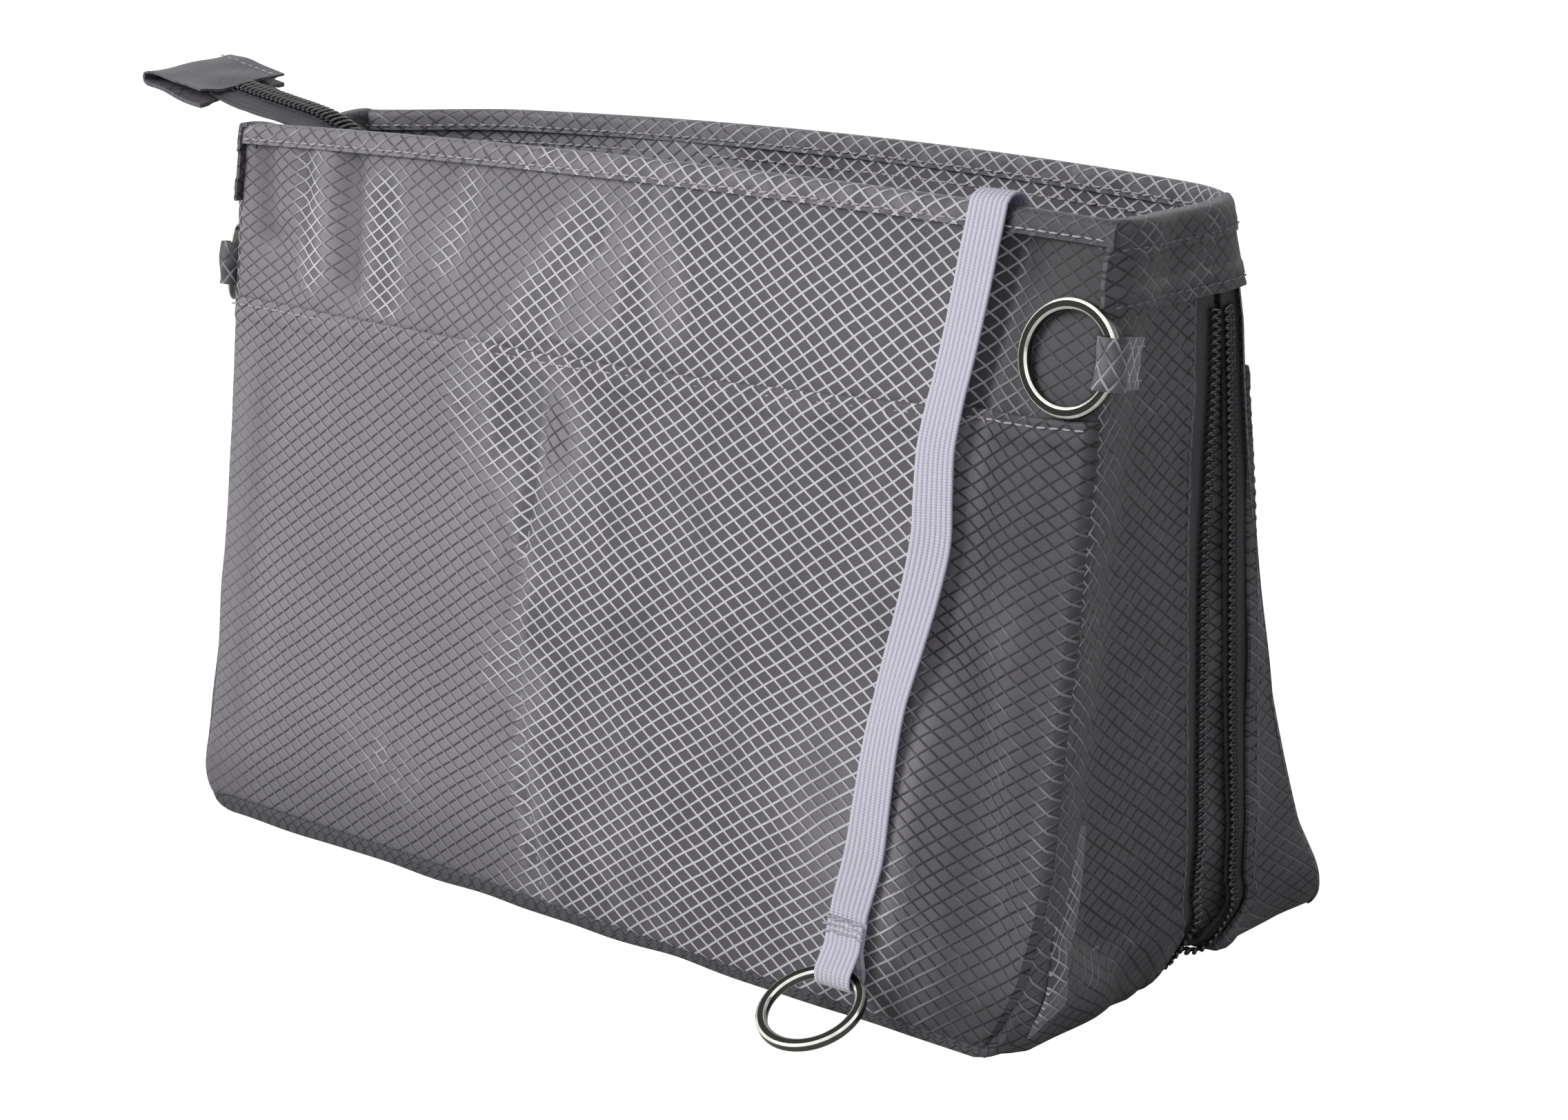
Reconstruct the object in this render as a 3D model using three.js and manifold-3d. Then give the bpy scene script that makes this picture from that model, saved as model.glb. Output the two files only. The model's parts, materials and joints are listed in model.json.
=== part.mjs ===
import * as THREE from 'three';
import { mergeVertices } from 'three/addons/utils/BufferGeometryUtils.js';
import Module from 'manifold-3d';

// Handbag insert organizer, open at the top, with an expansion zip round its ends and base.
// Millimetres, +Z up. X runs along the bag, -Y is the front, and the origin is on the base.

// Overall form
const height = 176.5;
const baseHalf = 137;
const rimHalf = 135.5;
const baseDepth = 126;
const frontBaseY = -baseDepth / 2;
const frontRimY = -37;
const backBaseY = baseDepth / 2;
const backRimY = 17.5;
const cornerRadius = 17;
const frontRimBow = 4;
const backRimBow = 12;
const frontBelly = 2;
const frontRimRaise = 1.5;
const backRimRaise = 2.5;
const endBow = 1.5;
const endBowRun = 12;

// Cloth and clearances
const cloth = 0.8;
const foam = 1.8;
const gap = 0.3;
const slideGap = 0.5;
const layerInset = 4;
const foamBelowRim = 9.5;
const foamTop = height - foamBelowRim;
const foamFade = 7;
const foamFadeStart = foamTop - foamFade;
const baseReveal = 2.2;

// Front pocket
const pocketBelowRim = 42.5;
const pocketHeight = height - pocketBelowRim;
const pocketCloth = 0.7;
const pocketHemCloth = 1.4;
const pocketHemDepth = 6;

// Rings and ring tabs: they hang between the pocket and the end bands
const wire = 2.5;
const rightRingOuter = 25;
const leftRingOuter = 20;
const keyRingOuter = 25;
const ringAbovePocket = 3;
const tabHeight = 11;
const tabCloth = 0.8;
const tabLength = 14;
const rightTabZ = pocketHeight + ringAbovePocket + rightRingOuter / 2;
const rightTabAhead = 1.9;
const leftTabDrop = 8.5;
const leftTabZ = rightTabZ - leftTabDrop;
const leftTabAhead = -3.8;
const leftRingTurn = 49.5;
const tabLoopStart = 180;
const tabLoopEnd = 410;

// Rim hems and end bands
const hemDepth = 6;
const hemCloth = 0.8;
const hemEndInset = 3.6;
const bandAboveTab = 3;
const bandBottom = rightTabZ + tabHeight / 2 + bandAboveTab;
const bandCloth = 1.1;
const bandExtraBow = 1.5;
const rightBandDip = 0.5;
const leftBandDip = 3.5;

// Gussets and their seams
const seamRoll = 2;
const seamRollRun = 3;
const gussetHem = 1.55;
const gussetHemDepth = 3.2;
const frontGussetBelowRim = 5.5;
const frontGussetTop = height - frontGussetBelowRim;
const backGussetBelowRim = 36.5;
const backGussetTop = height - backGussetBelowRim;
const backLiningBelowRim = 100.5;
const backLiningTop = height - backLiningBelowRim;

// Expansion zip: y of each line on the base and at the top of the zip
const zipBelowBand = 5;
const zipTop = bandBottom - zipBelowBand;
const tapeBelowRim = 6.5;
const tapeTop = height - tapeBelowRim;
const frontTapeBaseY = 6;
const frontTapeTopY = -2;
const frontCoilBaseY = 12;
const frontCoilTopY = 6;
const backCoilBaseY = 28.5;
const backCoilTopY = 11;
const backTapeBaseY = 33;
const backTapeTopY = 16;
const tapeInset = 1.85;
const tapeCloth = 0.6;
const tapeTuck = 3;
const tapeLip = 1;
const coilInset = 0.05;
const coilHeight = 1.5;
const coilWidth = 2.6;
const coilWaist = 1.7;
const coilPitch = 8;
const expansionDepth = 8;
const expansionCloth = 0.7;
const expansionShelf = 4.2;
const expansionLand = 3.6;
const expansionStep = 0.8;
const expansionEdge = 5.5;

// Key strap, a flat elastic, and the fold that holds the key ring
const strapWidth = 10;
const strapThick = 1;
const strapStepLength = 3.9;
const strapFoldThick = 2.2;
const strapFoldCloth = 0.9;
const strapFoldLength = 11.5;
const strapFoldX = 88;
const strapFoldAhead = 3.2;
const strapFoldY = frontBaseY - strapFoldAhead;
const strapFoldTilt = 13;
const strapFoldStart = 125;
const strapFoldEnd = 415;
const strapLowEnd = 23.2;
const keyRingLean = 26;
const keyRingLift = 0.1;
const anchorBelowRim = 10.5;
const anchorHeight = 8;
const anchorTop = height - anchorBelowRim;
const anchorBottom = anchorTop - anchorHeight;
const anchorThick = 1.2;
const anchorMargin = 1;
const strapX = 104;

// Recessed top zip
const topZipBelowRim = 22.5;
const topZipZ = height - topZipBelowRim;
const topZipY = -11;
const topZipStartInset = 37.5;
const topZipStart = topZipStartInset - rimHalf;
const topZipLeadEnd = -46;
const topZipEndInset = 27.5;
const topZipEnd = rimHalf - topZipEndInset;
const topZipOpen = 11.5;
const topTapeWidth = 11;
const topTapeCloth = 0.7;
const topTapeEdge = 1;
const topCoilEdge = 0.6;
const topCoilWidth = 1.8;
const topCoilWaist = 1.1;
const topCoilHeight = 1.6;
const topCoilPitch = 10;
const leadSteps = 8;
const flapSteps = 8;
const flapStart = -44;
const flapBeyondZip = 4;
const flapEnd = topZipEnd + flapBeyondZip;
const flapCloth = 0.7;
const flapDroop = 6.5;
const flapFold = 3;
const flapLap = 6;

// Tail of the top zip and the folded tab at its end
const tailHalfWidth = 9;
const tailRise = 1.2;
const tailCloth = 0.7;
const tailChainWidth = 5;
const tailChainWaist = 3.8;
const tailChainHeight = 1.8;
const tailTabLength = 24;
const tailTabWidth = 28.7;
const tailTabThick = 3.4;
const tailTabCloth = 0.9;
const tailTabFall = 10.4;
const tailTabTilt = 6.4;
const tailTabBeyondRim = 38.5;
const tailTabX = -rimHalf - tailTabBeyondRim;
const tailTabY = -15;
const tailTabAboveRim = 8.5;
const tailTabZ = height + tailTabAboveRim;

// Sliders and pulls
const sliderLength = 11;
const sliderWidth = 10;
const sliderNeck = 7;
const sliderPlate = 0.9;
const sliderCorner = 2;
const sliderPost = 0.5;
const sliderPostLength = 2;
const bailThick = 1.4;
const bailInner = 1.7;
const bailOuter = 3;
const bailLeg = 1.1;
const pullLength = 24;
const pullWidth = 7;
const pullThick = 1.4;
const pullEye = 1.4;
const pullEyeWall = 1;
const pullWindowWidth = 2.6;
const pullWindowLength = 10;
const sliderBelowZipTop = 7;
const expansionSliderZ = zipTop - sliderBelowZipTop;
const sliderTravelEndZ = 30;
const expansionClose = 4.7;
const hingeAboveZip = 2;
const hingeZ = zipTop + hingeAboveZip;
const topSliderInset = 8;
const topSliderX = topZipStart + topSliderInset;

// How finely curved stretches are drawn
const cornerSteps = 5;
const wallRows = 7;
const wallColumns = 8;
const ringSides = 8;
const ringSteps = 20;
const arcSteps = 10;

const ripstop = new THREE.MeshStandardMaterial({ color: 0x5c575d, roughness: 0.62, metalness: 0 });
const liningCloth = new THREE.MeshStandardMaterial({ color: 0x4b474d, roughness: 0.75, metalness: 0 });
const foamSheet = new THREE.MeshStandardMaterial({ color: 0xd8d6d0, roughness: 0.95, metalness: 0 });
const zipTapeCloth = new THREE.MeshStandardMaterial({ color: 0x3b3b40, roughness: 0.85, metalness: 0 });
const zipCoilPlastic = new THREE.MeshStandardMaterial({ color: 0x2c2c30, roughness: 0.42, metalness: 0 });
const elasticCloth = new THREE.MeshStandardMaterial({ color: 0xcfccdf, roughness: 0.8, metalness: 0 });
const nickel = new THREE.MeshStandardMaterial({ color: 0xc9c6bc, roughness: 0.2, metalness: 1 });
const sliderMetal = new THREE.MeshStandardMaterial({ color: 0x35353a, roughness: 0.35, metalness: 0.8 });

const organizer = new THREE.Group();
const wasm = await Module();
wasm.setup();

const degrees = THREE.MathUtils.degToRad;
const mix = THREE.MathUtils.lerp;
const clamp = THREE.MathUtils.clamp;
const vec = (x, y, z) => new THREE.Vector3(x, y, z);

function addPiece(name, geometry, material) {
  const mesh = new THREE.Mesh(geometry, material);
  mesh.name = name;
  organizer.add(mesh);
  return mesh;
}

// Solid tools

function geometryFrom(points, faces) {
  const geometry = new THREE.BufferGeometry();
  geometry.setAttribute('position', new THREE.Float32BufferAttribute(points.flatMap((p) => p.toArray()), 3));
  geometry.setIndex(faces.flat());
  return geometry;
}

function signedVolume(points, faces) {
  let sum = 0;
  for (const [a, b, c] of faces) {
    sum += points[a].dot(points[b].clone().cross(points[c]));
  }
  return sum;
}

// A sheet with thickness: two grids of points, one for each face, joined round the border.
function sheetSolid(outer, inner) {
  const rows = outer.length;
  const columns = outer[0].length;
  const points = [...outer.flat(), ...inner.flat()];
  const at = (side, i, j) => side * rows * columns + i * columns + j;
  const faces = [];
  const quad = (a, b, c, d) => faces.push([a, b, c], [a, c, d]);
  for (let i = 0; i < rows - 1; i += 1) {
    for (let j = 0; j < columns - 1; j += 1) {
      quad(at(0, i, j), at(0, i + 1, j), at(0, i + 1, j + 1), at(0, i, j + 1));
      quad(at(1, i, j), at(1, i, j + 1), at(1, i + 1, j + 1), at(1, i + 1, j));
    }
    quad(at(0, i, 0), at(1, i, 0), at(1, i + 1, 0), at(0, i + 1, 0));
    const last = columns - 1;
    quad(at(0, i, last), at(0, i + 1, last), at(1, i + 1, last), at(1, i, last));
  }
  for (let j = 0; j < columns - 1; j += 1) {
    quad(at(0, 0, j), at(0, 0, j + 1), at(1, 0, j + 1), at(1, 0, j));
    const last = rows - 1;
    quad(at(0, last, j), at(1, last, j), at(1, last, j + 1), at(0, last, j + 1));
  }
  if (signedVolume(points, faces) < 0) {
    faces.forEach((face) => face.reverse());
  }
  return geometryFrom(points, faces);
}

// A bar lofted through rings of points, closed at both ends by a fan.
function ringLoft(rings) {
  const sides = rings[0].length;
  const points = rings.flat();
  const faces = [];
  for (let i = 0; i < rings.length - 1; i += 1) {
    for (let j = 0; j < sides; j += 1) {
      const k = (j + 1) % sides;
      const a = i * sides + j;
      const b = i * sides + k;
      faces.push([a, b, b + sides], [a, b + sides, a + sides]);
    }
  }
  const end = (rings.length - 1) * sides;
  for (let j = 1; j < sides - 1; j += 1) {
    faces.push([0, j + 1, j], [end, end + j, end + j + 1]);
  }
  if (signedVolume(points, faces) < 0) {
    faces.forEach((face) => face.reverse());
  }
  return geometryFrom(points, faces);
}

function toManifold(geometry) {
  const bare = geometry.clone();
  bare.deleteAttribute('normal');
  bare.deleteAttribute('uv');
  const merged = mergeVertices(bare, 1e-4);
  const mesh = new wasm.Mesh({
    numProp: 3,
    vertProperties: new Float32Array(merged.attributes.position.array),
    triVerts: new Uint32Array(merged.index.array),
  });
  return new wasm.Manifold(mesh);
}

function fromManifold(solid) {
  const mesh = solid.getMesh();
  const geometry = new THREE.BufferGeometry();
  geometry.setAttribute('position', new THREE.Float32BufferAttribute(mesh.vertProperties, 3));
  geometry.setIndex(Array.from(mesh.triVerts));
  return geometry;
}

function fuse(...geometries) {
  return fromManifold(geometries.map(toManifold).reduce((whole, next) => whole.add(next)));
}

// Extrude a flat outline by a thickness, centred on the outline's plane.
function slab(shape, thickness, curveSegments = arcSteps) {
  const geometry = new THREE.ExtrudeGeometry(shape, { depth: thickness, bevelEnabled: false, curveSegments });
  geometry.translate(0, 0, -thickness / 2);
  return geometry;
}

// Walls of the bag

const topShare = (z) => clamp(z / height, 0, 1);
const halfLength = (z) => mix(baseHalf, rimHalf, clamp((z - cornerRadius) / (height - cornerRadius), 0, 1));
const frontEdgeY = (z) => mix(frontBaseY, frontRimY, topShare(z));
const backEdgeY = (z) => backRimY + (backBaseY - backRimY) * (1 - topShare(z)) ** 2;
const middleShare = (x, z) => Math.max(0, 1 - (x / halfLength(z)) ** 2);

const frontWall = {
  spread: 0,
  place(x, z, depth) {
    const share = topShare(z);
    const middle = middleShare(x, z);
    const y = frontEdgeY(z) + middle * (frontRimBow * share ** 3 - frontBelly * Math.sin(Math.PI * share));
    return vec(x, y + depth, z + frontRimRaise * middle * share ** 3);
  },
};

const backWall = {
  spread: endBow,
  place(x, z, depth) {
    const share = topShare(z);
    const middle = middleShare(x, z);
    const y = backEdgeY(z) + middle * backRimBow * share ** 2;
    return vec(x, y - depth, z + backRimRaise * middle * share ** 3);
  },
};

// Half width of a wall at a height, for an outline drawn in from the bag's own by an inset.
function halfWidth(z, inset) {
  if (z >= cornerRadius) {
    return halfLength(z) - inset;
  }
  const radius = cornerRadius - inset;
  const drop = cornerRadius - z;
  return baseHalf - cornerRadius + Math.sqrt(Math.max(0, radius ** 2 - drop ** 2));
}

// Heights of the rows of a wall: along the corner arc first, then up the side at steps that all walls share.
function wallHeights(bottom, ...tops) {
  const radius = cornerRadius - bottom;
  const heights = [];
  for (let i = 0; i < cornerSteps; i += 1) {
    heights.push(cornerRadius - radius * Math.cos((i / cornerSteps) * (Math.PI / 2)));
  }
  for (let i = 0; i <= wallRows; i += 1) {
    heights.push(mix(cornerRadius, height, i / wallRows));
  }
  return [...heights.filter((z) => z < tops[0] - gap), ...tops];
}

function wallSheet(wall, heights, inset, outerDepth, innerDepth) {
  const grid = (depth) => heights.map((z) => {
    const half = halfWidth(z, inset) + wall.spread * topShare(z);
    const row = [];
    for (let j = 0; j <= wallColumns; j += 1) {
      row.push(wall.place(mix(-half, half, j / wallColumns), z, depth(z)));
    }
    return row;
  });
  return sheetSolid(grid(outerDepth), grid(innerDepth));
}

const foamThickness = (z) => mix(foam, gap, clamp((z - foamFadeStart) / (foamTop - foamFadeStart), 0, 1));
const foamOuter = () => cloth + gap;
const foamInner = (z) => cloth + gap + foamThickness(z);
const liningOuter = (z) => foamInner(z) + gap;
const liningInner = (z) => liningOuter(z) + cloth;
const liningRimDepth = liningInner(height);

function wallLayers(prefix, wall, bottom) {
  const zeroDepth = () => 0;
  const clothDepth = () => cloth;
  const shellHeights = wallHeights(bottom, foamFadeStart, height - hemDepth, height);
  addPiece(`${prefix}_panel`, wallSheet(wall, shellHeights, 0, zeroDepth, clothDepth), ripstop);
  const foamHeights = wallHeights(layerInset, foamFadeStart, foamTop);
  addPiece(`${prefix}_foam`, wallSheet(wall, foamHeights, layerInset, foamOuter, foamInner), foamSheet);
  const liningHeights = wallHeights(layerInset, foamFadeStart, foamTop, height - hemDepth, height);
  const lining = wallSheet(wall, liningHeights, layerInset, liningOuter, liningInner);
  addPiece(`${prefix}_lining`, lining, liningCloth);
}

// A folded hem: a strip that goes up the outside of the wall, over its top and down the inside.
function rimHem(name, wall) {
  const lower = height - hemDepth;
  const over = gap + hemCloth;
  const rows = (outside, inside, top) => {
    const grid = [];
    const half = rimHalf + wall.spread - hemEndInset;
    for (let j = 0; j <= wallColumns; j += 1) {
      const x = mix(-half, half, j / wallColumns);
      const corner = wall.place(x, height, 0).z + top;
      const lift = (depth) => {
        const point = wall.place(x, height, depth);
        point.z = corner;
        return point;
      };
      grid.push([
        wall.place(x, lower, -outside),
        lift(-outside),
        lift(liningRimDepth + inside),
        wall.place(x, lower, liningRimDepth + inside),
      ]);
    }
    return grid;
  };
  addPiece(name, sheetSolid(rows(over, over, over), rows(gap, gap, gap)), ripstop);
}

// The U of the ends and the base

// Stations of the U from one top end to the other, drawn in by an inset.
function uStations(top, inset, sideSteps = 6, baseSteps = 6) {
  const half = [];
  for (let i = 0; i <= sideSteps; i += 1) {
    const z = mix(top, cornerRadius, i / sideSteps);
    half.push({ x: halfLength(z) - inset, z, nx: 1, nz: 0 });
  }
  for (let i = 1; i <= cornerSteps; i += 1) {
    const turn = (i / cornerSteps) * (Math.PI / 2);
    const radius = cornerRadius - inset;
    half.push({
      x: baseHalf - cornerRadius + radius * Math.cos(turn),
      z: cornerRadius - radius * Math.sin(turn),
      nx: Math.cos(turn),
      nz: -Math.sin(turn),
    });
  }
  const left = half.map((s) => ({ x: -s.x, z: s.z, nx: -s.nx, nz: s.nz }));
  const base = [];
  const reach = baseHalf - cornerRadius;
  for (let i = 1; i < baseSteps; i += 1) {
    base.push({ x: mix(-reach, reach, i / baseSteps), z: inset, nx: 0, nz: -1 });
  }
  return [...left, ...base, ...half.reverse()];
}

// How far the ends bow outwards at a place.
function bow(y, z) {
  const rise = clamp((y - frontEdgeY(z)) / endBowRun, 0, 1);
  return endBow * topShare(z) * rise;
}

// A strip that follows the U. Each line across it gives the insets of its two faces, and y at a height.
function uStrip(top, lines, sideSteps, baseSteps) {
  const stations = uStations(top, 0, sideSteps, baseSteps);
  const face = (side) => stations.map((s) => lines.map(({ y, insets }) => {
    const inset = insets[side];
    const z = s.z - s.nz * inset;
    const out = bow(y(z), z) * Math.abs(s.nx) - inset;
    return vec(s.x + s.nx * out, y(z), s.z + s.nz * out);
  }));
  return sheetSolid(face(0), face(1));
}

const zipShare = (z) => z / zipTop;
const frontTapeY = (z) => mix(frontTapeBaseY, frontTapeTopY, zipShare(z));
const frontCoilY = (z) => mix(frontCoilBaseY, frontCoilTopY, zipShare(z));
const backCoilY = (z) => mix(backCoilBaseY, backCoilTopY, zipShare(z));
const backTapeY = (z) => mix(backTapeBaseY, backTapeTopY, zipShare(z));
const behindFront = (z) => frontEdgeY(z) + cloth + gap;
const beforeBack = (z) => backEdgeY(z) - cloth - gap;

function frontGusset() {
  const line = (y, outer, inner) => ({ y, insets: [outer, inner] });
  const hemStart = (z) => frontTapeY(z) - gussetHemDepth;
  return uStrip(frontGussetTop, [
    line(behindFront, seamRoll, seamRoll + cloth),
    line((z) => behindFront(z) + seamRollRun / 3, seamRoll / 3, seamRoll / 3 + cloth),
    line((z) => behindFront(z) + seamRollRun, 0, cloth),
    line((z) => frontEdgeY(z) + endBowRun, 0, cloth),
    line((z) => hemStart(z) - gap, 0, cloth),
    line(hemStart, 0, gussetHem),
    line(frontTapeY, 0, gussetHem),
  ]);
}

function frontGussetLining() {
  const line = (y) => ({ y, insets: [cloth + gap, cloth + gap + cloth] });
  return uStrip(frontGussetTop, [
    line((z) => behindFront(z) + seamRollRun + seamRoll),
    line((z) => frontEdgeY(z) + endBowRun),
    line((z) => frontTapeY(z) - gussetHemDepth - cloth),
  ]);
}

function backGusset() {
  const line = (y, outer, inner) => ({ y, insets: [outer, inner] });
  const start = (z) => backTapeY(z) + gap;
  const width = (z) => beforeBack(z) - start(z);
  return uStrip(backGussetTop, [
    line(start, 0, gussetHem),
    line((z) => start(z) + Math.min(gussetHemDepth, width(z) / 3), 0, gussetHem),
    line((z) => start(z) + Math.min(gussetHemDepth + gap, width(z) / 2), 0, cloth),
    line(beforeBack, 0, cloth),
  ]);
}

function backGussetLining() {
  const start = (z) => backTapeY(z) + gussetHemDepth + 4 * gap;
  const line = (y) => ({ y, insets: [cloth + gap, cloth + gap + cloth] });
  return uStrip(backLiningTop, [line(start), line(beforeBack)]);
}

function frontZipTape() {
  const line = (y) => ({ y, insets: [tapeInset, tapeInset + tapeCloth] });
  return uStrip(tapeTop, [line((z) => frontTapeY(z) - tapeTuck), line((z) => frontCoilY(z) + tapeLip)]);
}

function backZipTape() {
  const line = (y) => ({ y, insets: [tapeInset, tapeInset + tapeCloth] });
  const edge = (z) => Math.min(backTapeY(z) + tapeTuck, beforeBack(z) - gap);
  return uStrip(tapeTop, [line((z) => backCoilY(z) - tapeLip), line(edge)]);
}

// A coil row: a four-sided bar that swells and narrows once a pitch, like the coil's turns.
function zipCoil(centreY) {
  const run = height - cornerRadius;
  const sideSteps = Math.round((2 * run) / coilPitch);
  const baseSteps = Math.round((4 * (baseHalf - cornerRadius)) / coilPitch);
  const stations = uStations(zipTop, 0, sideSteps, baseSteps);
  const rings = stations.map((s, i) => {
    const width = i % 2 ? coilWidth : coilWaist;
    const y = centreY(s.z);
    const out = bow(y, s.z) * Math.abs(s.nx);
    const at = (dy, inset) => vec(s.x + s.nx * (out - inset), y + dy, s.z + s.nz * (out - inset));
    const middle = coilInset + coilHeight / 2;
    return [
      at(-width / 2, middle),
      at(0, coilInset),
      at(width / 2, middle),
      at(0, coilInset + coilHeight),
    ];
  });
  return ringLoft(rings);
}

function expansionGusset() {
  const under = tapeInset + tapeCloth + gap;
  const line = (y, inset) => ({ y, insets: [inset, inset + expansionCloth] });
  const backEdge = (z) => Math.min(backCoilY(z) + expansionEdge, beforeBack(z) - gap);
  return uStrip(zipTop, [
    line((z) => frontCoilY(z) - expansionEdge, under),
    line((z) => frontCoilY(z) - expansionLand, under),
    line((z) => frontCoilY(z) - expansionLand + expansionStep, expansionShelf),
    line((z) => mix(frontCoilY(z), backCoilY(z), 0.5), expansionDepth),
    line((z) => backCoilY(z) + expansionLand - expansionStep, expansionShelf),
    line((z) => backCoilY(z) + expansionLand, under),
    line(backEdge, under),
  ]);
}

// End band: covers the top of one end and laps over its rim, which dips a little between the walls.
function endBand(side, dip) {
  const top = height + gap + bandCloth;
  const cap = height + gap;
  const steps = 6;
  const lower = bandBottom;
  const face = (outer) => {
    const rows = [];
    for (let i = 0; i <= steps; i += 1) {
      const share = i / steps;
      const place = (z, out) => {
        const y = mix(frontEdgeY(z), backEdgeY(z) - cloth, share);
        const swell = bow(y, z) + bandExtraBow * Math.sin(Math.PI * share) * topShare(z);
        return vec(side * (halfLength(z) + swell + out), y, 0);
      };
      const out = outer ? gap + bandCloth : gap;
      const z = (outer ? top : cap) - dip * Math.sin(Math.PI * share) ** 2;
      const low = place(lower, out);
      low.z = lower;
      const rim = place(height, out);
      rim.z = z;
      const inside = place(height, -hemEndInset + gap);
      inside.z = z;
      rows.push([low, rim, inside]);
    }
    return rows;
  };
  return sheetSolid(face(true), face(false));
}

function frontPocket() {
  const hemStart = pocketHeight - pocketHemDepth;
  const heights = wallHeights(baseReveal, hemStart, hemStart + gap, pocketHeight);
  const outer = (z) => -gap - (z > hemStart ? pocketHemCloth : pocketCloth);
  const inner = () => -gap;
  return wallSheet(frontWall, heights, 0, outer, inner);
}

wallLayers('front', frontWall, baseReveal);
wallLayers('back', backWall, baseReveal);
rimHem('front_rim_hem', frontWall);
rimHem('back_rim_hem', backWall);
addPiece('front_pocket', frontPocket(), ripstop);
addPiece('front_gusset', frontGusset(), ripstop);
addPiece('front_gusset_lining', frontGussetLining(), liningCloth);
addPiece('back_gusset', backGusset(), ripstop);
addPiece('back_gusset_lining', backGussetLining(), liningCloth);
addPiece('front_zip_tape', frontZipTape(), zipTapeCloth);
addPiece('back_zip_tape', backZipTape(), zipTapeCloth);
addPiece('front_zip_coil', zipCoil(frontCoilY), zipCoilPlastic);
addPiece('back_zip_coil', zipCoil(backCoilY), zipCoilPlastic);
addPiece('expansion_gusset', expansionGusset(), ripstop);
addPiece('right_end_band', endBand(1, rightBandDip), ripstop);
addPiece('left_end_band', endBand(-1, leftBandDip), ripstop);

// Loops that hold rings

// How far a ring's wire curves off a straight line within a loop of a given height.
const ringRadius = (outer) => (outer - wire) / 2;
const wireSag = (radius, loopHeight) => radius - Math.sqrt(radius ** 2 - (loopHeight / 2) ** 2);
const wireSpread = (radius, loopHeight) => wire / 2 / Math.sqrt(1 - (loopHeight / 2 / radius) ** 2);
const eyeRadius = (radius, loopHeight) => (
  wireSpread(radius, loopHeight) + wireSag(radius, loopHeight) / 2 + gap);
const hingeReach = (radius, loopHeight) => radius - wireSag(radius, loopHeight) / 2;

// Outline of a loop: round an eye from one angle to another, then along a stem given by its two edges.
function loopShape(eye, wall, from, to, stem) {
  const shape = new THREE.Shape();
  const reach = eye + wall;
  for (let i = 0; i <= arcSteps; i += 1) {
    const angle = degrees(mix(from, to, i / arcSteps));
    shape[i ? 'lineTo' : 'moveTo'](reach * Math.cos(angle), reach * Math.sin(angle));
  }
  stem.forEach(([, right, y]) => shape.lineTo(right, y));
  [...stem].reverse().forEach(([left, , y]) => shape.lineTo(left, y));
  const hole = new THREE.Path();
  hole.absarc(0, 0, eye, 0, 2 * Math.PI, true);
  shape.holes.push(hole);
  return shape;
}

const lean = Math.atan((frontRimY - frontBaseY) / height);
const cornerLine = vec(0, Math.sin(lean), Math.cos(lean));
const backwards = vec(0, Math.cos(lean), -Math.sin(lean));

function place(geometry, xAxis, yAxis, zAxis, origin) {
  const basis = new THREE.Matrix4().makeBasis(xAxis, yAxis, zAxis).setPosition(origin);
  return geometry.applyMatrix4(basis);
}

// The point about which a ring swings in its tab, which stands off the side of the bag by its loop.
function tabAxis(side, z, ahead, outer) {
  const reach = eyeRadius(ringRadius(outer), tabHeight) + tabCloth;
  const y = frontEdgeY(z) - ahead;
  return vec(side * (halfLength(z) + bow(y + reach, z) + gap + reach), y, z);
}

function ringTab(side, z, ahead, outer) {
  const eye = eyeRadius(ringRadius(outer), tabHeight);
  const origin = tabAxis(side, z, ahead, outer);
  const reach = eye + tabCloth;
  const surface = (y) => {
    const worldY = origin.y + y * Math.cos(lean);
    return bow(worldY, z + tabHeight / 2) - bow(origin.y + reach, z) + gap / 3 - reach;
  };
  const starts = [reach + tabCloth, mix(reach, tabLength, 1 / 2), tabLength];
  const stem = starts.map((y) => [surface(y), surface(y) + 2 * tabCloth, y]);
  const geometry = slab(loopShape(eye, tabCloth, tabLoopStart, tabLoopEnd, stem), tabHeight);
  return place(geometry, vec(side, 0, 0), backwards, cornerLine.clone().multiplyScalar(side), origin);
}

// A ring that hangs in a loop: it lies from the loop's axis towards a direction.
function ringIn(outer, loopHeight, axisPoint, axis, towards) {
  const radius = ringRadius(outer);
  const geometry = new THREE.TorusGeometry(radius, wire / 2, ringSides, ringSteps);
  const centre = axisPoint.clone().addScaledVector(towards, hingeReach(radius, loopHeight));
  return place(geometry, towards, axis, towards.clone().cross(axis), centre);
}

const leftTurn = degrees(leftRingTurn);
const leftTowards = vec(-Math.cos(leftTurn), 0, 0).addScaledVector(backwards, Math.sin(leftTurn));
const rightAxis = tabAxis(1, rightTabZ, rightTabAhead, rightRingOuter);
const leftAxis = tabAxis(-1, leftTabZ, leftTabAhead, leftRingOuter);
addPiece('right_ring_tab', ringTab(1, rightTabZ, rightTabAhead, rightRingOuter), ripstop);
addPiece('left_ring_tab', ringTab(-1, leftTabZ, leftTabAhead, leftRingOuter), ripstop);
addPiece('right_ring', ringIn(rightRingOuter, tabHeight, rightAxis, cornerLine, vec(-1, 0, 0)), nickel);
addPiece('left_ring', ringIn(leftRingOuter, tabHeight, leftAxis, cornerLine, leftTowards), nickel);

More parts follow.
